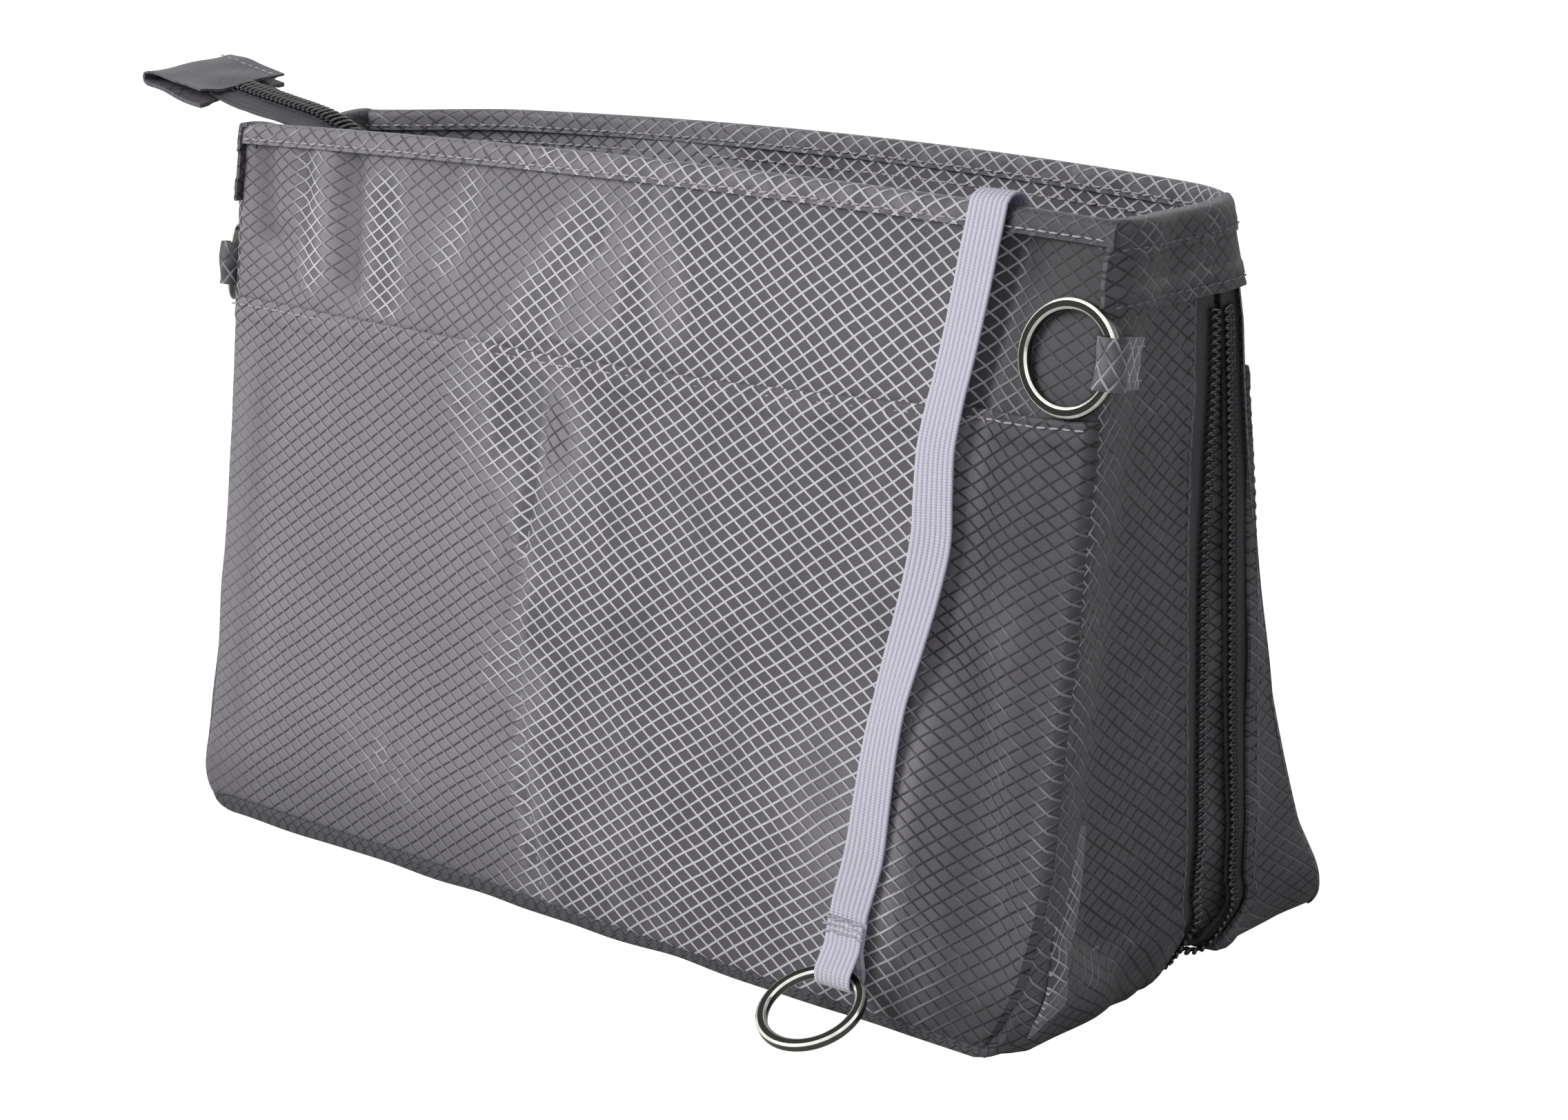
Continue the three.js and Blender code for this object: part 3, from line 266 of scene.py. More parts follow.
def seam_gap(x, z, nx, nz, share_of):
    """How far inside the strip's plain line a line near the front seam lies, less so under the base."""
    low = max(0.0, share_of - 0.45) if share_of < 0.95 else 0.8
    return share_of * np.abs(nx) * (half_width(z, 0) - panel_half(x, z, 0)) + low * np.abs(nz) * base_rise(x, 0 * z)


def settle(points):
    """The soft ends: the right one hangs inwards between the walls, and the rim's back corners are rounded."""
    p = np.array(points, float)
    x, y, z = p[..., 0], p[..., 1], p[..., 2]
    behind, before = y - front_y(z), back_y(z) - y
    right = smooth((x - 108) / 24)
    sink = np.interp(z, [0, 1, 3, 6, 10, 17, 31, 101, 122, 135, 154, 177],
                     [-4, -2.3, 0, 3, 5.3, 7.2, 6, 6, 5.4, 4.5, 4.1, 3.5])
    at_back = np.interp(z, [0, 4, 12, 26, 60, 100, 150, 160, 177], [-3, -1, 1, 4, 4.3, 3.4, 2.4, 2.6, 2.3])
    start = np.interp(z, [0, 24], [38, 3])
    inward = mix(sink * smooth((behind - start) / 20), at_back, smooth((22 - before) / 22))
    boxy = np.exp(-(z / 5) ** 2) * smooth((behind - 1) / 8) * smooth((6 - y) / 14) * right
    near_back = clip01((20 - before) / 20) ** 2
    near_end = np.clip((x - RIM_HALF + 19) / 20, 0, 1.1) ** 2
    rounded = np.interp(z, [110, 150, 158, 177], [0, 1.0, 1.6, 4.2]) * near_back * near_end
    left = smooth((-96 - x) / 38) * smooth((z - 150) / 22) * smooth(behind / 50)
    under = smooth((12 - z) / 12) * smooth((behind - 25) / 30) * smooth((before - 12) / 20) * smooth((x - 70) / 50)
    p[..., 0] = x - inward * right - rounded + 5.0 * boxy
    p[..., 1] = y - rounded - 12 * left - 12 * under
    p[..., 2] = np.maximum(z - 0.6 * boxy, np.minimum(z, 0.05))
    return p


def bow(y, z):
    return END_BOW * share(z) * clip01((y - front_y(z)) / END_BOW_RUN)


def front_wall(x, z, depth):
    s, middle = share(z), np.maximum(0, 1 - (x / half_length(z)) ** 2)
    y = front_y(z) + middle * (4 * s ** 3 - 2 * np.sin(np.pi * s)) + depth
    return np.stack([x + 0 * y, y, z + 1.5 * middle * s ** 3], axis=-1)


def back_wall(x, z, depth):
    s, middle = share(z), np.maximum(0, 1 - (x / half_length(z)) ** 2)
    y = back_y(z) + middle * 12 * s ** 2 - depth
    return np.stack([x + 0 * y, y, z + 2.5 * middle * s ** 3], axis=-1)


def divider_x(z):
    """Where the pocket's dividing seam runs."""
    return np.interp(z, [2, 30, 67, 100, 134], [-5.8, -15, -21.5, -20.2, -17.8])


def front_swell(x, z):
    """How far the front stands proud of its plain form: ripples, folds and the pocket's fullness."""
    off = x - divider_x(z)
    lift = 0.45 * waves(x, z, 3, 62) + creases(x, z, STRAP_FOLDS)
    lift = lift + smooth((z - 128) / 14) * creases(x, z, UPPER_FOLDS)
    return lift + smooth((136 - z) / 20) * (
        creases(x, z, POCKET_FOLDS) + 1.3 * blob(x, z, -76, 62, 46, 48) + blob(x, z, 40, 66, 48, 50)
        - 0.9 * np.exp(-(off / 1.5) ** 2) - 0.5 * np.exp(-(off / 9) ** 2))


def back_swell(x, z):
    lift = 0.7 * waves(x, z, 11, 70) + 0.5 * blob(x, z, -70, 60, 50, 45) + 0.6 * blob(x, z, 60, 56, 50, 45)
    lift = lift - 0.9 * crease(x, z, (-40, 172), (-60, 120), 7) - 0.8 * crease(x, z, (70, 170), (86, 118), 8)
    return lift


def wall_reach(side, x, z, inset):
    """How far a wall's cloth reaches towards the end on the side where x is."""
    if side == "front":
        return panel_half(x, z, inset)
    return half_width(z, inset) + END_BOW * share(z)


def edge_fall(reach, x, z, radius):
    """How far a wall's edge rolls in towards its seam."""
    near = clip01(1 - np.minimum(reach - np.abs(x), z - 1.9) / radius)
    return radius * (1 - np.sqrt(1 - near ** 2))


def front_light(x, z):
    """Painted light for the front: where the grid's two thread directions are painted as catching the light, where
    painted glare washes them out, and the painted shading of the cloth.
    """
    rough, fine = waves(x, z, 21, 22), waves(x, z, 22, 8)
    tilt = (front_swell(x + 2.5, z) - front_swell(x - 2.5, z)) / 5
    left = np.interp(z, [0, 30, 84, 104, 125, 134, 136, 176], [-10, -17, -23, -34, -45, -46, -9, 4])
    right = np.interp(z, [0, 60, 100, 130, 134, 176], [104, 94, 98, 101, 118, 116])
    inside = (smooth((x - left + 6 * rough + 2 * fine) / 22 + 0.5)
              * smooth((right - x + 3 * rough + 2 * fine) / 10 + 0.5))
    upper, pocket = smooth((z - 133) / 2), smooth((135 - z) / 2)
    patch = upper * np.clip(creases(x, z, BRIGHT_BANDS) * 0.95 - 0.1 + 0.14 * fine, 0, 0.75)
    dim = pocket * blob(x, z, -15, 116, 8, 13, 20) + 0.8 * upper * blob(x, z, 12, 152, 6, 14, 20)
    ticks = pocket * blob(x, z, -62, 26, 16, 9, -30) * smooth(fine + 0.5)
    corner = smooth((x - 108) / 8) * (0.3 + 0.5 * smooth(fine + 0.4 * rough))
    gleam = crease(x, z, *EDGE_GLEAM)
    # Painted highlights: lit patches, ticks, a lit right corner and an edge gleam pick which grid lines are painted
    # bright
    first = (inside + patch - dim - 2.2 * tilt * inside + 0.25 * pocket * smooth((left - x) / 6) + 0.3 * ticks
             + 0.16 * upper + 0.5 * gleam + 0.5 * corner * smooth((140 - z) / 60)
             - 0.8 * blob(x, z, 82, 36, 14, 30, 20))
    second = (inside + patch - 0.9 * dim - 1.8 * tilt * inside + 0.5 * ticks + 0.1 * upper + 0.4 * gleam
              + 0.7 * blob(x, z, 106, 10, 12, 14))
    painted_glare = 0.7 * smooth((-106 - x + 5 * rough) / 28) * smooth((132 - z) / 24) + creases(x, z, GLARE_FOLDS)
    # Painted shade: darker right of the strap where its shadow and the panel's turn fall, towards the rim, near the
    # bottom and along the shaded folds
    strap_x = np.interp(z, [0, 90, 134, 176], [92, 100, 103, 107])
    shade = (0.56 * smooth((x - strap_x) / 8) + 0.1 * smooth((x - 108) / 6)
             - 0.08 * smooth((x - 126) / 6) * smooth((100 - z) / 60) + 0.14 * smooth((z - 156) / 14)
             + 0.22 * smooth((46 - z) / 44) * smooth((20 - x) / 60) + 0.15 * smooth((22 - z) / 20)
             + 0.14 * inside * pocket * clip01(rough) + creases(x, z, SHADED_FOLDS))
    return clip01(first), clip01(second), clip01(painted_glare), np.clip(1 - shade, 0.24, 1.2)


def lit_by(light):
    """The mesh attributes that a cloth's material reads, from its painted light values: the painted catch of the two
    grid directions, the painted glare and the painted shading.
    """
    *catch, tone = np.broadcast_arrays(*light)
    return {"catch": np.stack(catch, axis=-1), "tone": tone}


# Meshes

def in_scene(name, data):
    """A new object with this data, linked into the scene."""
    piece = bpy.data.objects.new(name, data)
    bpy.context.scene.collection.objects.link(piece)
    return piece


def set_attribute(mesh, key, values):
    """Puts a number or a direction on each point of a mesh."""
    values = np.asarray(values, float)
    kind, field = ("FLOAT", "value") if values.ndim == 1 else ("FLOAT_VECTOR", "vector")
    mesh.attributes.new(key, kind, "POINT").data.foreach_set(field, values.ravel())


def finish_mesh(mesh, material, crisp):
    """Smooth faces with sharp edges past an angle in degrees, and the material."""
    mesh.polygons.foreach_set("use_smooth", [True] * len(mesh.polygons))
    mesh.set_sharp_from_angle(angle=math.radians(crisp))
    mesh.materials.clear()
    mesh.materials.append(material)
    mesh.update()


def link_mesh(name, points, quads, material, corner_uv=None, attributes=None, caps=(), crisp=48):
    """A mesh object from points in millimetres, turned so that its faces point outwards."""
    points = np.asarray(points, float) * MM
    quads = np.asarray(quads, int)
    a, b, c, d = (points[quads[:, k]] for k in range(4))
    volume = np.einsum("ij,ij->", a, np.cross(b, c)) + np.einsum("ij,ij->", a, np.cross(c, d))
    faces = quads.tolist() + [list(cap) for cap in caps]
    if volume < 0:
        faces = [face[::-1] for face in faces]
        corner_uv = None if corner_uv is None else corner_uv[:, ::-1]
    mesh = bpy.data.meshes.new(name)
    mesh.from_pydata(points.tolist(), [], faces)
    if corner_uv is not None:
        layer = mesh.uv_layers.new(name="cloth")
        flat = np.zeros((len(mesh.loops), 2))
        flat[: corner_uv.shape[0] * 4] = corner_uv.reshape(-1, 2) * MM
        layer.data.foreach_set("uv", flat.ravel())
    for key, values in (attributes or {}).items():
        set_attribute(mesh, key, values)
    finish_mesh(mesh, material, crisp)
    return in_scene(name, mesh)


def grid_uv(u, v):
    return np.stack(np.broadcast_arrays(u, v), axis=-1)


def grid_quads(grid):
    """The quads between the rows and columns of a grid of point numbers or of texture places."""
    corners = np.stack([grid[:-1, :-1], grid[:-1, 1:], grid[1:, 1:], grid[1:, :-1]], axis=2)
    return corners.reshape(-1, *corners.shape[2:])


def cloth_piece(name, outer, inner, uv, material, attributes=None, crisp=48, soft=True):
    """A sheet with thickness from two grids of points, closed round its border."""
    if soft:
        outer, inner = settle(outer), settle(inner)
    rows, columns = outer.shape[:2]
    count = rows * columns
    index = np.arange(count).reshape(rows, columns)
    faces = [grid_quads(index)[:, [0, 3, 2, 1]], grid_quads(index) + count]
    for line, flip in ((index[:, 0], False), (index[:, -1], True), (index[0], True), (index[-1], False)):
        p, q = line[:-1], line[1:]
        faces.append(np.stack([p, q, q + count, p + count] if flip else [p, p + count, q + count, q], axis=-1))
    faces = np.vstack(faces)
    flat_uv = np.concatenate([uv.reshape(-1, 2)] * 2)
    both = {key: np.concatenate([v.reshape(count, -1)] * 2).squeeze() for key, v in (attributes or {}).items()}
    points = np.vstack([outer.reshape(-1, 3), inner.reshape(-1, 3)])
    return link_mesh(name, points, faces, material, flat_uv[faces], both, crisp=crisp)


def loft_faces(rings, points, closed=False):
    """The faces between rings of points, and the caps of the two ends unless the rings close."""
    index = np.arange(rings * points).reshape(rings, points)
    path = np.vstack([index, index[:1]]) if closed else index
    caps = [] if closed else [index[0, ::-1].tolist(), index[-1].tolist()]
    return grid_quads(np.concatenate([path, path[:, :1]], axis=1)), caps


def swept(name, path, across, up, section, material, attributes=None, closed=False, crisp=48):
    """A bar of a given section carried along a path."""
    count = len(path)
    rings = path[:, None] + across[:, None] * section[None, :, :1] + up[:, None] * section[None, :, 1:]
    faces, caps = loft_faces(count, len(section), closed)
    round_section = lengths_along(np.vstack([section, section[:1]]))
    along = lengths_along(np.vstack([path, path[:1]]) if closed else path)
    corner = grid_quads(grid_uv(round_section[None], along[:, None]))
    shared = {key: np.repeat(v[None], count, 0).ravel() for key, v in (attributes or {}).items()}
    return link_mesh(name, rings.reshape(-1, 3), faces, material, corner, shared, caps, crisp)


def frames_along(path, hint):
    """Across and up directions along a path, with across kept near a hint."""
    ahead = unit(np.gradient(path, axis=0))
    hint = np.broadcast_to(np.asarray(hint, float), path.shape)
    across = unit(hint - ahead * np.sum(hint * ahead, axis=1, keepdims=True))
    return across, np.cross(ahead, across)


def placed(piece, body, *nodes, slot=None):
    """A finished piece rides on a body and stands for the solids it covers, which it hides; its slot is not used."""
    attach(piece, body)
    if nodes:
        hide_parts(*nodes)
    return piece


def stretched(piece, node, slot, *between_bodies):
    """A finished piece that stands for a solid, which it hides, and keeps its place in the world; its slot and the two
    bodies are not used.
    """
    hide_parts(node)
    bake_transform(piece)
    return piece


def u_stations(top, step=2.2):
    """The U down the left end, along the base and up the right end: x, z, outward x and z, and the run."""
    side = np.linspace(top, CORNER, max(2, math.ceil((top - CORNER) / step)) + 1)
    turn = np.linspace(0, math.pi / 2, 13)[1:]
    x = np.concatenate([half_length(side), BASE_HALF - CORNER + CORNER * np.cos(turn)])
    z = np.concatenate([side, CORNER - CORNER * np.sin(turn)])
    nx = np.concatenate([np.ones_like(side), np.cos(turn)])
    nz = np.concatenate([np.zeros_like(side), -np.sin(turn)])
    reach = BASE_HALF - CORNER
    base = np.linspace(-reach, reach, math.ceil(2 * reach / step) + 1)[1:-1]
    x, z, nx, nz = (np.concatenate([left, middle, right[::-1]]) for left, middle, right in (
        (-x, base, x), (z, 0 * base, z), (-nx, 0 * base, nx), (nz, 0 * base - 1, nz)))
    return x, z, nx, nz, lengths_along(np.stack([x, z], axis=1))


def u_grid(top, lines, ripple=None, steps=3, step=2.2):
    """Points of a strip that follows the U. Each line across it gives y at a height and an inset."""
    x, z, nx, nz, run = u_stations(top, step)
    ys, insets = [], []
    for y_at, inset in lines:
        inset = (inset(x, z, nx, nz) if callable(inset) else inset) + 0 * z
        ys.append(y_at(z - nz * np.maximum(inset, 0)))
        insets.append(inset)
    knots = np.arange(len(lines))
    stops = np.linspace(0, knots[-1], knots[-1] * steps + 1)
    y, inset = (np.stack([np.interp(stops, knots, row) for row in zip(*known)]) for known in (ys, insets))
    if ripple is not None:
        dy, lift = ripple(stops, run[:, None], y, z[:, None])
        y, inset = y + dy, inset - lift

    def points(extra):
        out = bow(y, z[:, None]) * np.abs(nx)[:, None] - (inset + extra)
        high = np.maximum(z[:, None] + nz[:, None] * out, 0.05 + extra)
        return np.stack([x[:, None] + nx[:, None] * out, y, high], axis=-1)

    return points, y, inset, run, (x, z, nx, nz)


def u_piece(name, top, lines, thickness, material, ripple=None, light=None, steps=3, uv_shift=0.0, gathered=0):
    """A strip of cloth round the U. Its first gathered columns take more cloth than their width."""
    points, y, inset, run, (x, z, _, _) = u_grid(top, lines, ripple, steps)
    pace = np.hypot(np.diff(y, axis=1), np.diff(inset, axis=1))
    pace[:, :gathered] *= 1.9
    uv = grid_uv(y[:, :1] + lengths_across(pace) + uv_shift, run[:, None])
    attributes = None
    if light is not None:
        attributes = lit_by(light(*np.broadcast_arrays(y, run[:, None], z[:, None], x[:, None])))
    return cloth_piece(name, points(0), points(thickness), uv, material, attributes)


def above_base(line):
    """The two ends of a line round the U, without its run under the base."""
    points, out = line
    ends = []
    for side in (-1, 1):
        keep = (points[:, 2] > 9) & (side * points[:, 0] > 0)
        ends.append((points[keep], out[keep]))
    return ends


def zip_line(low, high):
    """A line of the expansion zip, from its y at the base and at the zip's top."""
    return lambda z: mix(low, high, z / ZIP_TOP)


front_tape_y, front_coil_y = zip_line(6.0, -2.0), zip_line(12.0, 6.0)
back_coil_y, back_tape_y = zip_line(28.5, 11.0), zip_line(33.0, 16.0)


def behind(line, distance):
    """A line that runs at a distance behind another one, or before it if less than 0."""
    return lambda z: line(z) + distance


def between(first, second, t):
    return lambda z: mix(first(z), second(z), t)


def u_line(top, y_at, inset, step=1.0):
    """A line round the U with its outward direction."""
    points, *_, (_, _, nx, nz) = u_grid(top, [(y_at, inset), (y_at, inset)], None, 1, step)
    return settle(points(0)[:, 0]), np.stack([nx, 0 * nx, nz], axis=1)


# Node trees

def once(store, default=None):
    """Lets a function make what it names only if Blender's data doesn't hold it yet."""
    def found_or_made(make):
        return lambda *values: getattr(bpy.data, store).get((*values, default)[0]) or make(*values)
    return found_or_made


class Nodes:
    """Short calls for a node tree."""

    def __init__(self, tree):
        self.tree = tree

    def plug(self, socket, value):
        if isinstance(value, bpy.types.NodeSocket):
            self.tree.links.new(value, socket)
        else:
            socket.default_value = value

    def add(self, kind, inputs=None, **settings):
        node = self.tree.nodes.new(kind)
        for key, value in settings.items():
            setattr(node, key, value)
        for key, value in (inputs or {}).items():
            self.plug(node.inputs[key], value)
        return node

    def math(self, operation, *values, clamp=False):
        node = self.add("ShaderNodeMath", operation=operation, use_clamp=clamp)
        for socket, value in zip(node.inputs, values):
            self.plug(socket, value)
        return node.outputs[0]

    def times(self, a, b):
        return self.math("MULTIPLY", a, b)

    def over(self, a, b):
        return self.math("DIVIDE", a, b)

    def minus(self, a, b):
        return self.math("SUBTRACT", a, b)

    def scaled(self, value, by, plus):
        return self.math("MULTIPLY_ADD", value, by, plus)

    def ease(self, value, low, high, start=0.0, end=1.0):
        node = self.add("ShaderNodeMapRange", {0: value, 1: low, 2: high, 3: start, 4: end},
                        interpolation_type="SMOOTHSTEP")
        return node.outputs[0]

    def blend(self, factor, a, b):
        node = self.add("ShaderNodeMix", data_type="RGBA", blend_type="MIX")
        self.plug(node.inputs[0], factor)
        for socket, value in ((node.inputs[6], a), (node.inputs[7], b)):
            self.plug(socket, value if isinstance(value, bpy.types.NodeSocket) else (*value, 1.0))
        return node.outputs[2]

    def noise(self, vector, scale, detail=2.0, roughness=0.5):
        node = self.add("ShaderNodeTexNoise", {"Vector": vector, "Scale": scale, "Detail": detail,
                                               "Roughness": roughness})
        return node.outputs["Fac"]

    def shaded(self, colour, by):
        return self.add("ShaderNodeVectorMath", {0: colour, 3: by}, operation="SCALE").outputs[0]

    def surface(self, shader, colour, roughness, relief=None):
        """Plugs a shader's colour and roughness, and its relief from a strength, a distance and a height."""
        self.plug(shader["Base Color"], colour)
        self.plug(shader["Roughness"], roughness)
        if relief:
            node = self.add("ShaderNodeBump", dict(zip(("Strength", "Distance", "Height"), relief)))
            self.plug(shader["Normal"], node.outputs[0])

    def attribute(self, name, output="Fac"):
        return self.add("ShaderNodeAttribute", attribute_name=name).outputs[output]

    def cloth_place(self):
        return self.add("ShaderNodeUVMap", uv_map="cloth").outputs[0]

    def object_place(self):
        return self.add("ShaderNodeTexCoord").outputs["Object"]


def node_group(name, inputs, outputs, kind="ShaderNodeTree"):
    """A node group with named sockets: itself, short calls for it, what it is given and what it puts out."""
    group = bpy.data.node_groups.new(name, kind)
    for label, socket_kind, *value in inputs:
        socket = group.interface.new_socket(label, in_out="INPUT", socket_type=f"NodeSocket{socket_kind}")
        if value:
            socket.default_value = value[0]
    for label, socket_kind in outputs:
        group.interface.new_socket(label, in_out="OUTPUT", socket_type=f"NodeSocket{socket_kind}")
    n = Nodes(group)
    return group, n, n.add("NodeGroupInput").outputs, n.add("NodeGroupOutput").inputs


# Repeated shapes: stitches, coil turns

@once("node_groups", "repeat_along_path")
def repeat_tree():
    """Sets a small shape along paths, turned to each path and to its outward direction."""
    tree, n, given, result = node_group(
        "repeat_along_path",
        [("Path", "Geometry"), ("Shape", "Object"), ("Spacing", "Float"), ("Size", "Float"), ("Unevenness", "Float"),
         ("Seed", "Int"), ("Finish", "Material")], [("Result", "Geometry")], "GeometryNodeTree")
    curve = n.add("GeometryNodeMeshToCurve", {0: given["Path"]})
    even = n.add("GeometryNodeResampleCurve", {"Curve": curve.outputs[0], "Length": given["Spacing"]}, mode="LENGTH")
    out = n.add("GeometryNodeInputNamedAttribute", {"Name": "outward"}, data_type="FLOAT_VECTOR")
    ahead = n.add("GeometryNodeInputTangent")
    turn = n.add("FunctionNodeAxesToRotation", {0: out.outputs["Attribute"], 1: ahead.outputs[0]},
                 primary_axis="Z", secondary_axis="X")
    shape = n.add("GeometryNodeObjectInfo", {"Object": given["Shape"]})
    chance = n.add("FunctionNodeRandomValue", {"Seed": given["Seed"]}, data_type="FLOAT")
    floats = [s for s in chance.inputs if s.type == "VALUE"]
    floats[0].default_value, floats[1].default_value = -1.0, 1.0
    drawn = next(s for s in chance.outputs if s.type == "VALUE")
    size = n.times(n.scaled(drawn, given["Unevenness"], 1.0), given["Size"])
    twist = n.add("ShaderNodeCombineXYZ", {"Z": n.times(drawn, given["Unevenness"])})
    tip = n.add("FunctionNodeRotateRotation", {0: turn.outputs[0], 1: twist.outputs[0]}, rotation_space="LOCAL")
    stamp = n.add("GeometryNodeInstanceOnPoints", {"Points": even.outputs[0], "Instance": shape.outputs["Geometry"],
                                                   "Rotation": tip.outputs[0], "Scale": size})
    real = n.add("GeometryNodeRealizeInstances", {0: stamp.outputs[0]})
    finish = n.add("GeometryNodeSetMaterial", {"Geometry": real.outputs[0], "Material": given["Finish"]})
    n.plug(result[0], finish.outputs[0])
    return tree


def repeated(name, lines, shape, spacing, material, size=1.0, uneven=0.0, seed=1):
    """A plain mesh of a shape set along each line of points and outward directions, in millimetres."""
    points = np.vstack([line for line, _ in lines]) * MM
    edges, start = [], 0
    for line, _ in lines:
        edges += [(start + i, start + i + 1) for i in range(len(line) - 1)]
        start += len(line)
    mesh = bpy.data.meshes.new(name)
    mesh.from_pydata(points.tolist(), edges, [])
    set_attribute(mesh, "outward", np.vstack([np.broadcast_to(out, line.shape) for line, out in lines]))
    piece = in_scene(name, mesh)
    modifier = piece.modifiers.new("repeat", "NODES")
    tree = repeat_tree()
    modifier.node_group = tree
    values = {"Shape": shape, "Spacing": spacing * MM, "Size": size, "Unevenness": uneven, "Seed": seed,
              "Finish": material}
    for item in tree.interface.items_tree:
        if item.in_out == "INPUT" and item.name in values:
            modifier[item.identifier] = values[item.name]
    piece.update_tag()
    result = bpy.data.meshes.new_from_object(piece.evaluated_get(bpy.context.evaluated_depsgraph_get()))
    piece.modifiers.remove(modifier)
    piece.data = result
    result.name = name
    bpy.data.meshes.remove(mesh)
    result.polygons.foreach_set("use_smooth", [True] * len(result.polygons))
    return piece


def shape_object(name, rings):
    """A small shape for repeating, from rings of points in millimetres, out of sight."""
    faces, caps = loft_faces(*rings.shape[:2])
    faces = faces.tolist() + caps
    points = rings.reshape(-1, 3) * MM
    if sum(np.dot(points[f[0]], np.cross(points[f[1]], points[f[2]])) for f in faces) < 0:
        faces = [f[::-1] for f in faces]
    mesh = bpy.data.meshes.new(name)
    mesh.from_pydata(points.tolist(), [], faces)
    piece = in_scene(name, mesh)
    piece.hide_render = True
    return piece


@once("objects", "stitch_shape")
def stitch_shape():
    """A stitch 2.3 mm long that sinks into the cloth at its ends."""
    rings = []
    for t in (-1.0, -0.8, -0.3, 0.3, 0.8, 1.0):
        fat = max(0.25, math.sqrt(max(0, 1 - abs(t) ** 4)))
        sink = -0.22 * abs(t) ** 3
        rings.append([(t * 1.15, 0.24 * fat * math.cos(a), 0.2 * fat * math.sin(a) + sink + 0.1)
                      for a in np.linspace(0, 2 * math.pi, 7)[:-1]])
    return shape_object("stitch_shape", np.array(rings))


@once("objects")
def coil_shape(name, pitch, width, height, wire, head=1.0):
    """One turn of a zip's coil: X along the zip, +Y its coupling side, Z outward."""
    angles = np.linspace(0, 2 * math.pi, 11)
    path = np.stack([pitch * (angles / (2 * math.pi) - 0.5), width / 2 * np.cos(angles),
                     height / 2 * np.sin(angles)], axis=1)
    ahead = unit(np.gradient(path, axis=0))
    ahead[0] = ahead[-1] = unit(np.array([pitch / (2 * math.pi), 0, height / 2]))
    side = unit(np.cross(ahead, (1.0, 0.0, 0.0)))
    over = np.cross(side, ahead)
    around = np.linspace(0, 2 * math.pi, 6)[:-1]
    fat = wire / 2 * (1 + (head - 1) * clip01(np.cos(angles)) ** 2)
    return shape_object(name, path[:, None] + fat[:, None, None] * (
        side[:, None] * np.cos(around)[None, :, None] + over[:, None] * np.sin(around)[None, :, None]))


# Finishes, some with painted light and shade

@once("node_groups", "ripstop_grid")
def ripstop_group():
    """A grid of heavier threads in two slanting directions over a fine plain weave. Its Bright and Dark outputs are
    painted highlights and painted shadows on the lines, set by the First and Second Light inputs.
    """
    group, n, given, out = node_group(
        "ripstop_grid",
        [("Cloth", "Vector"), ("Cell Width", "Float", 5.37), ("Cell Height", "Float", 3.69),
         ("Line Width", "Float", 0.38), ("Threads", "Float", 8.0), ("First Light", "Float", 0.5),
         ("Second Light", "Float", 0.5)],
        [("Bright", "Float"), ("Dark", "Float"), ("Weave", "Float"), ("Height", "Float"), ("Lines", "Float")])
    wander = n.add("ShaderNodeTexNoise", {"Vector": given["Cloth"], "Scale": 60.0, "Detail": 1.0})
    move = n.add("ShaderNodeVectorMath", {0: wander.outputs["Color"], 1: (0.5, 0.5, 0.5)}, operation="SUBTRACT")
    moved = n.add("ShaderNodeVectorMath", {0: move.outputs[0], 1: (0.0012, 0.0012, 0.0), 2: given["Cloth"]},
                  operation="MULTIPLY_ADD")
    parts = n.add("ShaderNodeSeparateXYZ", {0: moved.outputs[0]}).outputs
    cell = given["Cell Width"], given["Cell Height"]
    across, up = (n.over(n.times(part, 1000.0), size) for part, size in zip(parts, cell))
    first, second = n.math("ADD", across, up), n.minus(across, up)
    slant = n.math("SQRT", n.math("ADD", *(n.math("POWER", size, 2.0) for size in cell)))
    spacing = n.over(n.times(*cell), slant)
    near, far, wide = (n.times(n.times(given["Line Width"], 0.5), k) for k in (0.55, 1.5, 1.85))
    lit, unlit, ridges, domes = [], [], [], []
    for way, light in ((first, given["First Light"]), (second, given["Second Light"])):
        off = n.minus(n.math("FRACT", n.math("ADD", way, 0.5)), 0.5)
        away = n.times(off, spacing)
        shadow = n.math("ABSOLUTE", n.scaled(light, -0.3, away))
        edge = n.math("ABSOLUTE", n.math("ADD", away, n.scaled(light, -0.16, 0.16)))
        unlit.append(n.times(n.ease(shadow, near, wide, 1.0, 0.0), n.scaled(light, -0.72, 1.0)))
        lit.append(n.times(n.ease(edge, near, far, 1.0, 0.0), n.ease(light, 0.0, 0.8, 0.1, 1.0)))
        ridges.append(n.ease(n.math("ABSOLUTE", away), near, far, 1.0, 0.0))
        slope = n.minus(1.0, n.times(n.math("ABSOLUTE", off), 2.0))
        domes.append(n.minus(1.0, n.math("POWER", slope, 4.0)))
    threads = n.times(given["Threads"], 2 * math.pi)
    weave = n.times(*(n.math("SINE", n.times(way, threads)) for way in (first, second)))
    line = n.math("MAXIMUM", *ridges)
    height = n.math("ADD", n.times(n.times(*domes), 0.09), n.times(line, 0.07))
    for label, value in (("Bright", n.math("MAXIMUM", *lit)), ("Dark", n.math("MAXIMUM", *unlit)), ("Weave", weave),
                         ("Height", n.math("ADD", height, n.times(weave, 0.012))), ("Lines", line)):
        n.plug(out[label], value)
    return group


def new_material(name, looks=None):
    """A material, short calls for its nodes and its shader's inputs, some of them with plain values."""
    material = bpy.data.materials.new(name)
    material.use_nodes = True
    shader = material.node_tree.nodes["Principled BSDF"].inputs
    for key, value in (looks or {}).items():
        shader[key].default_value = value
    return material, Nodes(material.node_tree), shader


